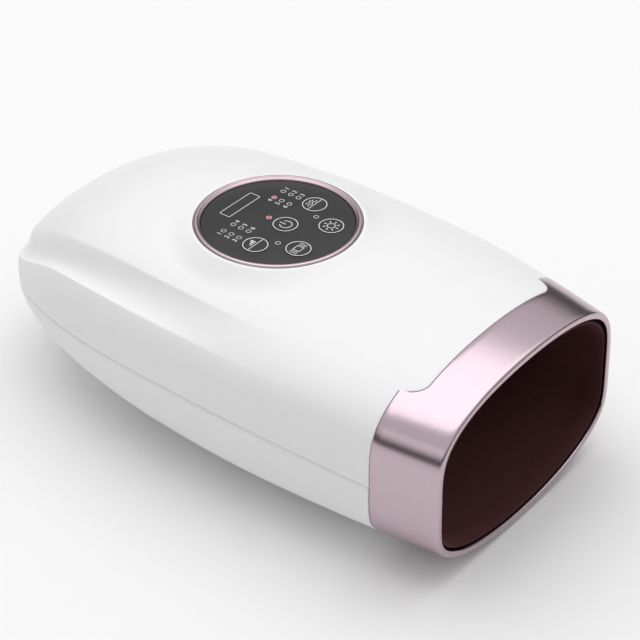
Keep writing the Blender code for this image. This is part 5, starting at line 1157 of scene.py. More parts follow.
def round_bar(x, along, low, high, radius):
    """An upright round bar."""
    profile = [(0.0, low), (radius, low), (radius, high), (0.0, high)]
    return turned_mesh("bar_tool", profile, (x, along + ROW_SHIFT), BAR_SEGMENTS)


def joined(name, parts):
    """One piece of several closed parts that don't touch."""
    made = bpy.data.meshes.new(name)
    with mesh_work(made) as work:
        for part in parts:
            work.from_mesh(part.data)
            bpy.data.objects.remove(part)
    return smooth_piece(name, made)


def core_solid():
    """A closed solid that ends half way into the shells' walls."""
    inset = SHELL_WALL / 2
    rows = []
    front, rear = np.linspace(COLLAR_SIDE_DEPTH, WIDEST_AT, 12), rows_by_arc(WIDEST_AT, CORE_END_AT, 50)
    for along in (*front, *rear[1:]):
        across, up = full_section(along, CORE_STOPS, CORE_COUNTS, CORE_STOPS, CORE_COUNTS)
        rows.append(skin(along, across, up, inset, inset))
    for end in (0, -1):
        centre = np.tile(rows[end].mean(axis=0), (len(across), 1))
        rows.insert(0 if end == 0 else len(rows), centre)
    return ringed("core_tool", rows)


def inlet_bar(start, end, margin, section=INLET_SECTION):
    """A rounded bar along the body at the inlet's height, larger all round by a margin."""
    outline = []
    half_wide, half_high, corner = (size + margin for size in section)
    for turn in range(INLET_SEGMENTS):
        angle = 2 * math.pi * (turn + 0.5) / INLET_SEGMENTS
        x = (half_wide - corner) * math.copysign(1, math.cos(angle)) + corner * math.cos(angle)
        z = (half_high - corner) * math.copysign(1, math.sin(angle)) + corner * math.sin(angle)
        outline.append((x, INLET_HEIGHT + z))
    rings = []
    for along, scale in ((start, 0.0), (start, 1.0), (end, 1.0), (end, 0.0)):
        rings.append([(x * scale, along, INLET_HEIGHT + (z - INLET_HEIGHT) * scale) for x, z in outline])
    return ringed("inlet_tool", rings)


def drawn_in(points, inset):
    """Moves a closed ring of points inwards, square to the ring, by an inset."""
    along = np.roll(points, -1, axis=0) - np.roll(points, 1, axis=0)
    inward = np.stack([along[:, 2], np.zeros(len(points)), -along[:, 0]], axis=-1)
    inward /= np.linalg.norm(inward, axis=-1, keepdims=True) + TINY
    return points + inward * inset


class MASSAGER_OT_collar(bpy.types.Operator):
    """Makes the rose metal collar round the mouth, with its rounded lip and notched rear edge"""

    bl_idname = "massager.collar"
    bl_label = "Collar"

    def execute(self, context):
        across, up = full_section(COLLAR_SIDE_DEPTH, *COLLAR_SECTION)
        edge = np.where(up >= 0, collar_edge(across), COLLAR_SIDE_DEPTH) - GAP / 2
        outer, inner = COLLAR_LIP_ROUND * LIP_OUTER_SHARE, COLLAR_LIP_ROUND * LIP_INNER_SHARE
        quarter = math.pi / 2
        rings = []
        for turn in np.linspace(0.0, quarter, 4):
            drawn = edge - COLLAR_FILLET * (1 - math.cos(turn))
            rings.append((drawn, COLLAR_FILLET * (1 - math.sin(turn))))
        for share in np.linspace(BAND_FROM_SHARE, 1.0, 14):
            rings.append((between(edge - COLLAR_FILLET, outer, share), 0.0))
        for turn in np.linspace(0.0, quarter, 8)[1:]:
            rings.append((outer * (1 - math.sin(turn)), outer * (1 - math.cos(turn))))
        for turn in np.linspace(0.0, quarter, 7):
            rings.append((inner * (1 - math.cos(turn)), COLLAR_LIP - inner * (1 - math.sin(turn))))
        rings += [(along, COLLAR_LIP) for along in (*LIP_ROWS_AT, COLLAR_LIP_DEPTH)]
        rings.append((COLLAR_LIP_DEPTH, COLLAR_WALL))
        for share in (0.25, 0.5, 0.75, 1.0):
            rings.append((between(COLLAR_LIP_DEPTH, edge, share), COLLAR_WALL))
        rows = [self.ring(along, inset) for along, inset in rings]
        collar = smoothed(ringed("collar_band", [*rows, rows[0]]), ROUND_ANGLE)
        dressed(collar, "rose_metal", "housing", ["front_collar"])
        return {"FINISHED"}

    def ring(self, along, inset):
        """One ring of the collar's outer face, drawn in by an inset."""
        across, up = full_section(float(np.mean(along)), *COLLAR_SECTION)
        return drawn_in(skin(along, across, up), inset)


def lining_insets(along):
    """Insets of the lining's outer face at the side, the top and the keel."""
    near_lip = COLLAR_LIP + SOFT_CLEAR
    in_frame = COLLAR_WALL + FRAME_WALL + GAP + SOFT_CLEAR
    start = between(near_lip, in_frame, ease(along, COLLAR_LIP_ROUND, COLLAR_LIP_DEPTH))
    narrow = ease(along, COLLAR_LIP_DEPTH, FRAME_REAR_AT - FRAME_WALL - GAP)
    settles = ease(along, COLLAR_LIP_DEPTH, LINING_SETTLES_AT)
    side = between(start, LINING_SIDE_INSET, narrow)
    top = between(start, LINING_TOP_INSET, settles)
    keel = between(start, LINING_KEEL_INSET, settles)
    return float(side), float(top), float(keel)


def ring_weave(ring):
    """Place of each point of a ring in the weave: the way round from the keel, and the way along."""
    steps = np.linalg.norm(np.roll(ring, -1, axis=0) - ring, axis=-1)
    way = np.concatenate([[0.0], np.cumsum(steps)])
    keel = way[np.argmin(ring[:, 2] + np.abs(ring[:, 0]) * 0.1)]
    gone = np.abs(way[:-1] - keel)
    return np.stack([np.minimum(gone, way[-1] - gone), ring[:, 1], np.zeros(len(ring))], axis=-1)


def lining_ring(along, deeper):
    """One ring of the lining, a step deeper than its outer face."""
    side, top, keel = lining_insets(along)
    across, up = full_section(along, *LINING_SECTION)
    upper = skin(along, across, np.maximum(up, 0.0), side + deeper, top + deeper)
    lower = skin(along, across, np.minimum(up, -1e-9), side + deeper, keel + deeper)
    return np.where((up >= 0)[:, None], upper, lower)


class MASSAGER_OT_lining(bpy.types.Operator):
    """Makes the dark red lining: a funnel behind the lip, and the sleeve that the pad presses down"""

    bl_idname = "massager.lining"
    bl_label = "Lining"

    def execute(self, context):
        funnel = self.funnel()
        dressed(funnel, "burgundy_fabric", "housing", ["fabric_liner"])
        sleeve = self.sleeve()
        sleeve.data.materials.append(finish("burgundy_fabric"))
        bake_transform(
            sleeve, "housing", "press_plate", start=(0.0, 0.0, PAD_BEND_LOW), end=(0.0, 0.0, PAD_BEND_HIGH)
        )
        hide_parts("fabric_liner")
        return {"FINISHED"}

    def funnel(self):
        """The part that narrows from the lip to the sleeve."""
        body = Sheet()
        places = [*FUNNEL_EDGE_AT, *np.linspace(FUNNEL_FROM, LINING_SETTLES_AT + FUNNEL_PAST, 34)]
        rows = [lining_ring(places[1], LINING_SKIN)]
        for along in places:
            tuck = FUNNEL_TUCK * (1 - ease(along, places[0], places[2]))
            rows.append(lining_ring(along, LINING_WALL - float(tuck)))
        for along in reversed(places[1:]):
            rows.append(lining_ring(along, LINING_SKIN))
        body.grid(body.add(np.array(rows), [ring_weave(row) for row in rows]), closed=True)
        return body.mesh("lining_funnel", weave=True)

    def sleeve(self):
        """The part under the pad, with a curtain at its front edge and a closed end."""
        body = Sheet()
        places = np.linspace(LINING_SETTLES_AT + SLEEVE_STEP, SLEEVE_STRAIGHT_TO, 60)
        inner = [lining_ring(along, LINING_WALL) for along in (*places, *SLEEVE_END_ROWS_AT)]
        numbers = body.add(np.array(inner), [ring_weave(row) for row in inner])
        body.grid(numbers, closed=True)
        self.close_end(body, inner[-1], numbers[-1])
        self.curtain(body, inner[0], numbers[0])
        sleeve = body.mesh("lining_sleeve", outward=False, weave=True)
        faces_out(sleeve, Vector((0.0, 0.0, SLEEVE_MIDDLE)))
        wall = sleeve.modifiers.new("Wall", "SOLIDIFY")
        wall.thickness = SLEEVE_WALL
        wall.offset = 1.0
        return settle(sleeve)

    def close_end(self, body, ring, numbers):
        """Fills the end of the sleeve with a slightly hollow panel."""
        centre = ring.mean(axis=0)
        rows = [numbers]
        for share in END_SHARES:
            place = centre + (ring - centre) * share
            place[:, 1] = LINING_END_AT - END_DEPTH - END_HOLLOW * share
            rows.append(body.add(place, place[:, [0, 2, 1]]))
        body.grid(np.array(rows), closed=True)
        last = rows[-1]
        middle = body.add(np.array([[centre[0], LINING_END_AT - END_DEPTH, centre[2]]]))[0]
        for i in range(len(last)):
            body.faces.append((last[i], last[(i + 1) % len(last)], middle))

    def curtain(self, body, ring, numbers):
        """Raises a wall from the front edge of the roof, to close the step when the pad is down."""
        top = [i for i in range(len(ring)) if ring[i, 2] > CURTAIN_LOW]
        top.sort(key=lambda i: math.atan2(ring[i, 2] - PAD_BEND_LOW, ring[i, 0]))
        rows = [numbers[top]]
        share = (ring[top][:, 2] - PAD_BEND_LOW) / (PAD_BEND_HIGH - PAD_BEND_LOW)
        follows = np.clip(CURTAIN_GAIN * share, 0.0, 1.0)
        for rise in CURTAIN_RISES:
            lifted = ring[top].copy()
            lifted[:, 2] += rise * follows
            lifted[:, 1] -= CURTAIN_STEP
            rows.append(body.add(lifted, ring_weave(ring)[top]))
        body.grid(np.array(rows))


class MASSAGER_OT_panel(bpy.types.Operator):
    """Makes the rose ring and the dark panel inside it"""

    bl_idname = "massager.panel"
    bl_label = "Panel"

    def execute(self, context):
        self.ring()
        self.lens()
        return {"FINISHED"}

    def ring(self):
        """The ring: a chamfer outside, a narrow flat and a slope down to the panel."""
        ring = smoothed(turned_mesh("panel_ring", RING_PROFILE, PANEL_CENTRE, RING_SEGMENTS), SHARP_ANGLE)
        dressed(ring, "rose_ring", "housing", ["panel_bezel"], "rose_metal")

    def lens(self):
        """The dark disc with a round opening for each key."""
        edge = ((LENS_RADIUS, LENS_TOP - LENS_EDGE), (LENS_RADIUS - LENS_EDGE, LENS_TOP))
        profile = [(0.0, LENS_FOOT), (LENS_RADIUS, LENS_FOOT), *edge, (0.0, LENS_TOP)]
        disc = turned_mesh("panel_disc", profile, PANEL_CENTRE, LENS_SEGMENTS)
        radius = KEY_RADIUS + KEY_GAP
        hole = [(0.0, KEY_HOLE_FROM), (radius, KEY_HOLE_FROM), (radius, KEY_HOLE_TO), (0.0, KEY_HOLE_TO)]
        for place in KEYS.values():
            tool = turned_mesh("key_hole_tool", hole, on_panel(*place), KEY_SEGMENTS)
            combined(disc, tool, "DIFFERENCE")
        smoothed(eased(disc, LENS_ROUND, 1), SHARP_ANGLE)
        dressed(disc, "panel_black", "housing", ["panel_lens"])


def on_panel(x, y):
    """A place given from the panel's centre, in the row frame."""
    return x + PANEL_CENTRE[0], y + PANEL_CENTRE[1]


class MASSAGER_OT_keys(bpy.types.Operator):
    """Makes the five round keys with the marks printed on them"""

    bl_idname = "massager.keys"
    bl_label = "Keys"

    def execute(self, context):
        profile = [
            (0.0, KEY_FLANGE_FOOT),
            (KEY_FLANGE_RADIUS, KEY_FLANGE_FOOT),
            (KEY_FLANGE_RADIUS, KEY_FLANGE_TOP),
            (KEY_RADIUS, KEY_FLANGE_TOP),
            (KEY_RADIUS, KEY_TOP - KEY_EDGE),
            (KEY_RADIUS - KEY_EDGE_STEP, KEY_TOP - KEY_EDGE_STEP),
            (KEY_RADIUS - KEY_EDGE, KEY_TOP),
            (KEY_RADIUS * KEY_FACE_SHARE, KEY_TOP),
            (0.0, KEY_TOP),
        ]
        for name, place in KEYS.items():
            centre = on_panel(*place)
            cap = smoothed(turned_mesh(name + "_cap", profile, centre, KEY_SEGMENTS), SHARP_ANGLE)
            dressed(cap, "key_grey", name + "_key", [name + "_button"])
            dressed(key_marks(name, centre), "white_ink", name + "_key", (), "panel_black")
        return {"FINISHED"}


class Ink:
    """Collects printed shapes, each a thin plate, on one level."""

    def __init__(self, level):
        settings = bpy.context.scene.massager_markings
        self.level = level
        self.line = settings.line_width
        self.height = settings.ink_height
        self.work = bmesh.new()

    def plate(self, outline):
        """A filled outline."""
        low = [self.work.verts.new((x, y, self.level)) for x, y in outline]
        top = [self.work.verts.new((x, y, self.level + self.height)) for x, y in outline]
        self.work.faces.new(low[::-1])
        self.work.faces.new(top)
        for i in range(len(outline)):
            j = (i + 1) % len(outline)
            self.work.faces.new((low[i], low[j], top[j], top[i]))

    def stroke(self, points, closed=False, width=None):
        """A line of even width through points."""
        half = (width or self.line) / 2
        points = [Vector(p) for p in points]
        count = len(points)
        left, right = [], []
        for i, point in enumerate(points):
            before = points[i - 1] if closed or i > 0 else point
            after = points[(i + 1) % count] if closed or i < count - 1 else point
            come, go = point - before, after - point
            first = (come if come.length else go).normalized()
            second = go.normalized() if go.length else first
            mid = (first + second).normalized()
            side = Vector((-mid.y, mid.x))
            reach = half / max(MITRE_LIMIT, side.dot(Vector((-first.y, first.x))))
            left.append(point + side * reach)
            right.append(point - side * reach)
        steps = count if closed else count - 1
        work, z0, z1 = self.work, self.level, self.level + self.height
        rails = [[work.verts.new((p.x, p.y, z)) for p in side] for side in (left, right) for z in (z0, z1)]
        ll, lt, rl, rt = rails
        for i in range(steps):
            j = (i + 1) % count
            for a, b in ((lt, rt), (rl, ll), (ll, lt), (rt, rl)):
                work.faces.new((a[i], b[i], b[j], a[j]))
        if not closed:
            for i in (0, count - 1):
                work.faces.new((ll[i], rl[i], rt[i], lt[i]))

    def arc(self, centre, radius, angles, closed, width):
        """A round line, or a part of one, through angles."""
        x, y = centre
        self.stroke([(x + radius * math.cos(a), y + radius * math.sin(a)) for a in angles], closed, width)

    def piece(self, name):
        """The finished piece."""
        bmesh.ops.recalc_face_normals(self.work, faces=self.work.faces)
        made = bpy.data.meshes.new(name)
        self.work.to_mesh(made)
        self.work.free()
        return placed(name, made)


def wave(reach, swing):
    """Points of one wave about zero, each with its place along and across."""
    return [(share * reach, swing * math.sin(share * 2 * math.pi)) for share in np.linspace(-1, 1, 25)]


def power_sign(ink, x, y, _):
    """A ring that is open at the top, with an upright bar."""
    drop, radius, start, end = POWER_ARC
    ink.arc((x, y - drop), radius, np.radians(np.linspace(start, end, 48)), False, ink.line)
    ink.stroke([(x, y + reach) for reach in POWER_BAR], False, ink.line)


def level_line(ink, x, y, fine):
    """A level line across the key."""
    ink.stroke([(x - KEY_RADIUS + SIGN_EDGE, y), (x + KEY_RADIUS - SIGN_EDGE, y)], False, fine)


def mode_sign(ink, x, y, fine):
    """Two level waves over a line."""
    level_line(ink, x, y, fine)
    for level, reach in MODE_WAVES:
        ink.stroke([(x + along, y + level + up) for along, up in wave(reach, MODE_SWING)], False, fine)


def strength_sign(ink, x, y, fine):
    """Rising bars over a line."""
    level_line(ink, x, y, fine)
    for step in range(STRENGTH_BARS):
        left, foot = x + BAR_START + BAR_PITCH * step, y + BAR_FOOT
        right, top = left + BAR_WIDTH, foot + (BAR_LOW + BAR_RISE * step)
        ink.plate([(left, foot), (right, foot), (right, top), (left, top)])


def heat_sign(ink, x, y, fine):
    """A sun with eight rays."""
    ink.arc((x, y), SUN_RADIUS, round_angles(40), True, fine)
    for ray in range(8):
        angle = math.pi * ray / 4
        way = Vector((math.cos(angle), math.sin(angle)))
        ink.stroke([Vector((x, y)) + way * reach for reach in (RAY_FROM, RAY_TO)], False, ink.line * RAY_LINE)


def vibration_sign(ink, x, y, fine):
    """A square with two upright waves at each side."""
    corners = ((-1, -1), (1, -1), (1, 1), (-1, 1))
    ink.stroke([(x + i * SHAKER_HALF, y + j * SHAKER_HALF) for i, j in corners], True, fine)
    for side in (-1, 1):
        for reach in SHAKER_WAVES:
            points = [(x + side * (reach + out), y + up) for up, out in wave(SHAKER_REACH, SHAKER_SWING)]
            ink.stroke(points, False, fine * WAVE_LINE)


SIGNS = {
    "power": power_sign,
    "strength": strength_sign,
    "mode": mode_sign,
    "vibration": vibration_sign,
    "heat": heat_sign,
}


def key_marks(name, centre):
    """The printed circle and sign of one key."""
    ink = Ink(KEY_TOP)
    ink.arc(centre, KEY_RADIUS - KEY_EDGE, round_angles(64), True, ink.line)
    SIGNS[name](ink, *centre, ink.line * FINE_LINE)
    return ink.piece(name + "_key_print")


def lamp_places():
    """Places of all lamps over the panel's centre, and whether each is lit."""
    places = []
    for column, (x, _, _) in enumerate(LAMP_COLUMNS):
        for y in LAMP_ROWS:
            places.append((x, y, column == LIT_COLUMN and y == LAMP_ROWS[0]))
    places.append((*POWER_LAMP, True))
    return places + [(x, y, False) for x, y in KEY_LAMPS]


def new_tree(name, sizes):
    """A Geometry Nodes tree with named sizes and a material as inputs, and its first and last node."""
    tree = bpy.data.node_groups.new(name, "GeometryNodeTree")
    face = tree.interface
    face.new_socket("Geometry", in_out="INPUT", socket_type="NodeSocketGeometry")
    for size in sizes:
        face.new_socket(size, in_out="INPUT", socket_type="NodeSocketFloat")
    face.new_socket("Material", in_out="INPUT", socket_type="NodeSocketMaterial")
    face.new_socket("Geometry", in_out="OUTPUT", socket_type="NodeSocketGeometry")
    return tree, tree.nodes.new("NodeGroupInput"), tree.nodes.new("NodeGroupOutput")


def worked(tree, operation, first, second):
    """The outcome of one sum in a tree."""
    return fed(tree, "ShaderNodeMath", {0: first, 1: second}, operation=operation).outputs[0]


def times(tree, first, second):
    """The product of two numbers in a tree."""
    return worked(tree, "MULTIPLY", first, second)


def moved(tree, shape, **values):
    """A shape moved, turned or scaled in a tree."""
    return fed(tree, "GeometryNodeTransform", {"Geometry": shape, **values}).outputs["Geometry"]


def vector(tree, x, y, z):
    """A vector from three numbers in a tree."""
    return fed(tree, "ShaderNodeCombineXYZ", {"X": x, "Y": y, "Z": z}).outputs["Vector"]


def spread(tree, start, end, shape):
    """Ends a tree: the shape on every point, made real and given its material."""
    points, material = start.outputs["Geometry"], start.outputs["Material"]
    copies = fed(tree, "GeometryNodeInstanceOnPoints", {"Points": points, "Instance": shape})
    real = fed(tree, "GeometryNodeRealizeInstances", {"Geometry": copies.outputs["Instances"]})
    values = {"Geometry": real.outputs["Geometry"], "Material": material}
    colour = fed(tree, "GeometryNodeSetMaterial", values)
    tree.links.new(colour.outputs["Geometry"], end.inputs["Geometry"])


def lamp_tree(name, with_dome):
    """Geometry Nodes: a printed ring, or a low dome, on every point."""
    tree, start, end = new_tree(name, ("Ring radius", "Line width", "Height"))
    radius, line, height = (start.outputs[size] for size in ("Ring radius", "Line width", "Height"))
    if with_dome:
        inner = worked(tree, "SUBTRACT", radius, line)
        dome = fed(tree, "GeometryNodeMeshUVSphere", {"Segments": 24, "Rings": 12, "Radius": inner})
        flat = vector(tree, 1.0, 1.0, worked(tree, "DIVIDE", height, inner))
        shape = moved(tree, dome.outputs["Mesh"], Scale=flat)
    else:
        ring = fed(tree, "GeometryNodeCurvePrimitiveCircle", {"Resolution": 32, "Radius": radius})
        section = fed(tree, "GeometryNodeCurvePrimitiveQuadrilateral", {"Width": line, "Height": height})
        sweep = {"Curve": ring.outputs["Curve"], "Profile Curve": section.outputs["Curve"]}
        shape = fed(tree, "GeometryNodeCurveToMesh", sweep).outputs["Mesh"]
    spread(tree, start, end, shape)
    return tree


def screw_tree(name):
    """Geometry Nodes: a screw standing on its head, with a cross recess and a thread, on every point."""
    tree, start, end = new_tree(name, SCREW_SIZES)
    head_radius, head_height, radius, length, pitch, recess = (start.outputs[size] for size in SCREW_SIZES)
    face = times(tree, head_radius, SCREW_FACE_SHARE)
    sizes = {"Vertices": 32, "Radius Bottom": face, "Radius Top": head_radius, "Depth": head_height}
    head = fed(tree, "GeometryNodeMeshCone", sizes).outputs["Mesh"]
    narrow = times(tree, recess, RECESS_NARROW_SHARE)
    deep = times(tree, head_height, RECESS_DEEP_SHARE)
    slot = vector(tree, recess, narrow, deep)
    bar = fed(tree, "GeometryNodeMeshCube", {"Size": slot}).outputs["Mesh"]
    cross = fed(tree, "GeometryNodeMeshBoolean", {"Mesh 1": head, "Mesh 2": bar}, operation="DIFFERENCE")
    tree.links.new(moved(tree, bar, Rotation=(0.0, 0.0, math.pi / 2)), cross.inputs["Mesh 2"])
    middle = worked(tree, "ADD", head_height, times(tree, length, 0.5))
    core = {"Vertices": 20, "Radius": times(tree, radius, CORE_SHARE), "Depth": length}
    shank = fed(tree, "GeometryNodeMeshCylinder", core).outputs["Mesh"]
    crest = times(tree, radius, CREST_SHARE)
    run = times(tree, length, THREAD_SHARE)
    turns = {"Resolution": 16, "Rotations": worked(tree, "DIVIDE", run, pitch), "Height": run}
    helix = fed(tree, "GeometryNodeCurveSpiral", {**turns, "Start Radius": crest, "End Radius": crest})
    ridge_sizes = {"Resolution": 4, "Radius": times(tree, radius, RIDGE_SHARE)}
    ridge = fed(tree, "GeometryNodeCurvePrimitiveCircle", ridge_sizes)
    sweep = {"Curve": helix.outputs["Curve"], "Profile Curve": ridge.outputs["Curve"], "Fill Caps": True}
    thread = fed(tree, "GeometryNodeCurveToMesh", sweep).outputs["Mesh"]
    start_gap = times(tree, length, THREAD_START_SHARE)
    lifted = vector(tree, 0.0, 0.0, worked(tree, "ADD", head_height, start_gap))
    whole = fed(tree, "GeometryNodeJoinGeometry", {"Geometry": cross.outputs["Mesh"]})
    for shape, place in ((shank, vector(tree, 0.0, 0.0, middle)), (thread, lifted)):
        tree.links.new(moved(tree, shape, Translation=place), whole.inputs["Geometry"])
    spread(tree, start, end, whole.outputs["Geometry"])
    return tree


def grown(name, points, tree, values):
    """A plain mesh from points and a Geometry Nodes tree, with its inputs set by identifier."""
    seed = bpy.data.meshes.new(name)
    seed.from_pydata(points, [], [])
    piece = placed(name, seed)
    modifier = piece.modifiers.new("Grow", "NODES")
    modifier.node_group = tree
    for item in tree.interface.items_tree:
        if item.in_out == "INPUT" and item.name in values:
            modifier[item.identifier] = values[item.name]
    return settle(piece)


class MASSAGER_OT_lamps(bpy.types.Operator):
    """Makes the small lamps of the panel and the rings printed round them"""

    bl_idname = "massager.lamps"
    bl_label = "Lamps"

    def execute(self, context):
        marks = context.scene.massager_markings
        rings, domes = lamp_tree("Lamp rings", False), lamp_tree("Lamp domes", True)
        level = LENS_TOP + marks.ink_height / 2
        every = [(*on_panel(x, y), level) for x, y, _ in lamp_places()]
        sizes = {"Ring radius": marks.lamp_radius, "Line width": marks.line_width * RING_LINE}
        sizes["Height"] = marks.ink_height
        ring = grown("lamp_ring_print", every, rings, {**sizes, "Material": finish("white_ink")})
        dressed(ring, "white_ink", "housing", (), "panel_black")
        sizes.update({"Line width": marks.line_width * DOME_LINE, "Height": LAMP_DOME})
        for lit, name, colour in ((True, "lamps_lit", "lamp_red"), (False, "lamps_unlit", "lamp_unlit")):
            points = [(*on_panel(x, y), LENS_TOP) for x, y, on in lamp_places() if on == lit]
            lamp = smoothed(grown(name, points, domes, {**sizes, "Material": finish(colour)}), DOME_ANGLE)
            dressed(lamp, colour, "housing", (), "lamp_clear")
        return {"FINISHED"}


class MASSAGER_OT_screws(bpy.types.Operator):
    """Makes the screws of the control board, the chamber and the rear of the case"""

    bl_idname = "massager.screws"
    bl_label = "Screws"

    def execute(self, context):
        tree = screw_tree("Screws")
        for kind, (head, height, shank, pitch) in SCREWS.items():
            nodes = sorted(node for node in frame["nodes"] if node.startswith(kind))
            boxes = [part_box(node) for node in nodes]
            places = [((low.x + high.x) / 2, (low.y + high.y) / 2, low.z) for low, high in boxes]
            long = boxes[0][1].z - boxes[0][0].z - height
            sizes = dict(zip(SCREW_SIZES, (head, height, shank, long, pitch, head * RECESS_SHARE)))
            screws = grown(kind + "s", places, tree, {**sizes, "Material": finish("screw_steel")})
            dressed(smoothed(screws), "screw_steel", "housing", nodes)
        return {"FINISHED"}


class MASSAGER_OT_markings(bpy.types.Operator):
    """Prints the numbers beside the lamps and the outline of the bare plate"""

    bl_idname = "massager.markings"
    bl_label = "Markings"

    def execute(self, context):
        marks = context.scene.massager_markings
        ink = Ink(LENS_TOP)
        side, low, high = PLATE_HALF - PLATE_CORNER, PLATE_LOW + PLATE_CORNER, PLATE_HIGH - PLATE_CORNER
        outline = []
        for x, y, start in ((side, low, -90), (side, high, 0), (-side, high, 90), (-side, low, 180)):
            x, y = on_panel(x, y)
            for angle in np.radians(np.linspace(start, start + 90, 5)):
                outline.append((x + PLATE_CORNER * math.cos(angle), y + PLATE_CORNER * math.sin(angle)))
        ink.stroke(outline, True, marks.line_width * PLATE_LINE)
        dressed(ink.piece("plate_outline"), "white_ink", "housing", (), "panel_black")
        places = []
        for x, numbers, side in LAMP_COLUMNS:
            for number, y in zip(numbers, LAMP_ROWS):
                places.append((str(number), *on_panel(x + side * NUMBER_GAP, y)))
        digits = printed_numbers("lamp_numbers", places, marks.digit_height, LENS_TOP, marks.ink_height)
        dressed(digits, "white_ink", "housing", (), "panel_black")
        return {"FINISHED"}


def printed_numbers(name, places, height, level, thickness):
    """Numbers as thin plates, each centred on its place."""
    whole = bpy.data.meshes.new(name)
    with mesh_work(whole) as work:
        for number, x, y in places:
            curve = bpy.data.curves.new("number", "FONT")
            curve.body = number
            curve.size = height / DIGIT_SHARE
            curve.align_x = curve.align_y = "CENTER"
            curve.extrude = thickness / 2
            letter = placed("number", curve)
            bpy.context.view_layer.update()
            graph = bpy.context.evaluated_depsgraph_get()
            made = bpy.data.meshes.new_from_object(letter.evaluated_get(graph))
            made.transform(Matrix.Translation((x, y, level + thickness / 2)))
            work.from_mesh(made)
            bpy.data.objects.remove(letter)
            bpy.data.meshes.remove(made)
        bmesh.ops.remove_doubles(work, verts=work.verts, dist=MERGE)
        bmesh.ops.recalc_face_normals(work, faces=work.faces)
    return placed(name, whole)


class MASSAGER_OT_feet(bpy.types.Operator):
    """Makes the four rubber feet"""

    bl_idname = "massager.feet"
    bl_label = "Feet"

    def execute(self, context):
        for name, (x, along) in FEET.items():
            foot = turned_mesh(name + "_pad", FOOT_PROFILE, (x, along + ROW_SHIFT), FOOT_SEGMENTS)
            dressed(smoothed(foot, ROUND_ANGLE), "rubber_grey", "housing", [name])
        return {"FINISHED"}


def refined(name, node, colour, width):
    """A finished piece from a node: its mesh merged, its edges rounded, its curved faces smoothed."""
    source = frame["nodes"][node]
    piece = placed(name, source.data.copy())
    with mesh_work(piece.data) as work:
        bmesh.ops.remove_doubles(work, verts=work.verts, dist=MERGE)
        bmesh.ops.dissolve_limit(work, angle_limit=math.radians(1.0), verts=work.verts, edges=work.edges)
    smoothed(eased(piece, width, 2, ROUND_ANGLE), SHARP_ANGLE)
    return dressed(piece, colour, body_of(source)[0], [node])


WORKS = {
    "frame_plastic": (
        "liner_frame", "upper_chamber", "lower_chamber", "end_bracket", "press_pad", "battery_tray",
        "pump_cradle", "vibration_motor_cradle",
    ),
    "lamp_clear": ("led_light_guide",),
    "board_green": ("control_board", "main_board"),
    "inlet_black": ("charging_inlet",),
    "valve_black": ("pump_head", "air_valve"),
    "motor_steel": ("pump_rotor", "vibration_weight", "pump_motor", "vibration_motor"),
    "hose_clear": ("pump_hose", "bladder_hose"),
    "cell_blue": ("panel_ribbon_cable", "battery_cell_front", "battery_cell_rear"),
}


class MASSAGER_OT_works(bpy.types.Operator):
    """Gives the frame, motors, boards and other works inside their finishes"""

    bl_idname = "massager.works"
    bl_label = "Works inside"

    def execute(self, context):
        for colour, nodes in WORKS.items():
            for node in nodes:
                slots = frame["nodes"][node].material_slots
                if not slots:
                    raise RuntimeError(node + " has no material slot")
                for slot in slots:
                    slot.material = finish(colour)
        return {"FINISHED"}


class MASSAGER_OT_pads(bpy.types.Operator):
    """Makes the air bladder, the foam and the heating film round the hand space"""

    bl_idname = "massager.pads"
    bl_label = "Soft pads"

    def execute(self, context):
        pads = (
            ("bladder_cushion", "upper_air_bladder", "bladder_film"),
            ("foam_cushion", "lower_foam_pad", "foam"),
        )
        for name, node, colour in pads:
            piece = refined(name, node, colour, CUSHION_EDGE)
        refined("heating_film", "heating_pad", "heater_film", FILM_EDGE)
        return {"FINISHED"}


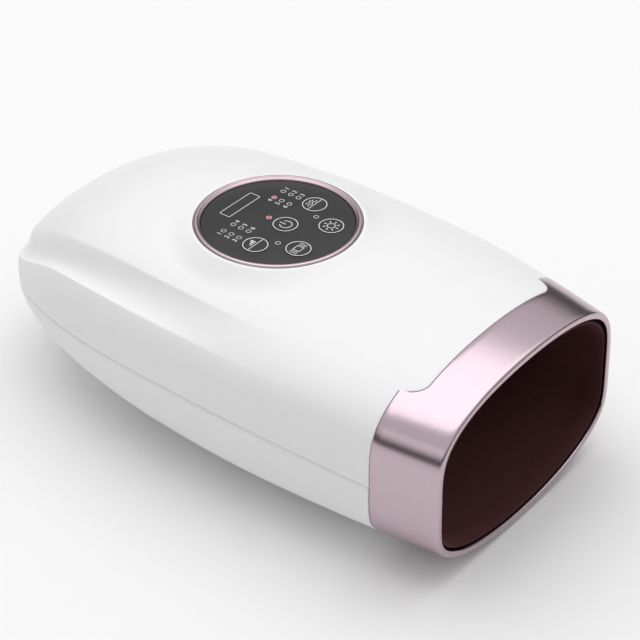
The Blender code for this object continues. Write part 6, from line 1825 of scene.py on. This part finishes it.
class MASSAGER_OT_stage(bpy.types.Operator):
    """Makes the floor, the lights and the camera"""

    bl_idname = "massager.stage"
    bl_label = "Stage"

    def execute(self, context):
        stage = context.scene.massager_stage
        self.floor()
        aim = Vector(AIM)
        self.lights(context, stage, aim)
        self.camera(context, stage, aim)
        return {"FINISHED"}

    def floor(self):
        """A wide pale floor."""
        made = bpy.data.meshes.new("studio_floor")
        corners = [(x * FLOOR_HALF, y * FLOOR_HALF, 0) for x, y in ((-1, -1), (1, -1), (1, 1), (-1, 1))]
        made.from_pydata(corners, [], [(0, 1, 2, 3)])
        made.materials.append(finish("studio_floor"))
        floor = placed("studio_floor", made)

    def lights(self, context, stage, aim):
        """An even room, a broad light overhead and a softer one on the left."""
        world = bpy.data.worlds.new("Studio room")
        context.scene.world = world
        world.use_nodes = True
        nodes, links = world.node_tree.nodes, world.node_tree.links
        height = nodes.new("ShaderNodeSeparateXYZ")
        links.new(nodes.new("ShaderNodeTexCoord").outputs["Generated"], height.inputs[0])
        rise = nodes.new("ShaderNodeMapRange")
        rise.interpolation_type = "SMOOTHSTEP"
        for socket, value in zip(rise.inputs[1:5], (HORIZON_FROM, HORIZON_TO, stage.horizon, stage.room)):
            socket.default_value = value
        links.new(height.outputs["Z"], rise.inputs[0])
        links.new(rise.outputs[0], nodes["Background"].inputs["Strength"])
        nodes["Background"].inputs["Color"].default_value = (1.0, 1.0, 1.0, 1.0)
        wanted = (("Top light", stage.key_power, *TOP_LIGHT), ("Side light", stage.fill_power, *SIDE_LIGHT))
        for name, power, place, wide, high in wanted:
            light = bpy.data.lights.new(name, "AREA")
            light.shape = "RECTANGLE"
            light.size = wide
            light.size_y = high
            light.energy = power
            lamp = placed(name, light)
            lamp.location = place
            lamp.rotation_euler = (aim - Vector(place)).to_track_quat("-Z", "Y").to_euler()

    def camera(self, context, stage, aim):
        """The camera at the photograph's angle."""
        turn, lift = stage.camera_azimuth, stage.camera_elevation
        flat = math.cos(lift)
        back = Vector((math.sin(turn) * flat, -math.cos(turn) * flat, math.sin(lift)))
        lens = bpy.data.cameras.new("Camera")
        lens.lens = stage.lens
        lens.sensor_width = SENSOR
        camera = placed("Camera", lens)
        camera.location = aim + back * stage.camera_distance
        camera.rotation_euler = (-back).to_track_quat("-Z", "Y").to_euler()
        context.scene.camera = camera
        context.scene.view_settings.view_transform = "Standard"


class MASSAGER_PT_panel(bpy.types.Panel):
    """Lists the massager's settings and pieces"""

    bl_idname = "MASSAGER_PT_panel"
    bl_label = "Hand massager"
    bl_space_type = "VIEW_3D"
    bl_region_type = "UI"
    bl_category = "Massager"

    def draw(self, context):
        for name, _ in GROUPS:
            group = getattr(context.scene, name)
            box = self.layout.box()
            for setting in group.__annotations__:
                box.prop(group, setting)
        for maker in OPERATORS:
            self.layout.operator(maker.bl_idname)


OPERATORS = (
    MASSAGER_OT_stage,
    MASSAGER_OT_upper_shell,
    MASSAGER_OT_lower_shell,
    MASSAGER_OT_collar,
    MASSAGER_OT_lining,
    MASSAGER_OT_panel,
    MASSAGER_OT_keys,
    MASSAGER_OT_lamps,
    MASSAGER_OT_markings,
    MASSAGER_OT_screws,
    MASSAGER_OT_feet,
    MASSAGER_OT_pads,
    MASSAGER_OT_works,
)

GROUPS = (
    ("massager_finishes", MassagerFinishes),
    ("massager_markings", MassagerMarkings),
    ("massager_stage", MassagerStage),
)


def register():
    """Registers the settings, the operators and the panel."""
    for name, group in GROUPS:
        bpy.utils.register_class(group)
        setattr(bpy.types.Scene, name, PointerProperty(type=group))
    for maker in OPERATORS:
        bpy.utils.register_class(maker)
    bpy.utils.register_class(MASSAGER_PT_panel)


def unregister():
    """Takes all of them out again."""
    bpy.utils.unregister_class(MASSAGER_PT_panel)
    for maker in reversed(OPERATORS):
        bpy.utils.unregister_class(maker)
    for name, group in reversed(GROUPS):
        delattr(bpy.types.Scene, name)
        bpy.utils.unregister_class(group)


def main():
    """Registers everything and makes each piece."""
    register()
    for maker in OPERATORS:
        group, name = maker.bl_idname.split(".")
        getattr(getattr(bpy.ops, group), name)()


if __name__ == "__main__":
    main()
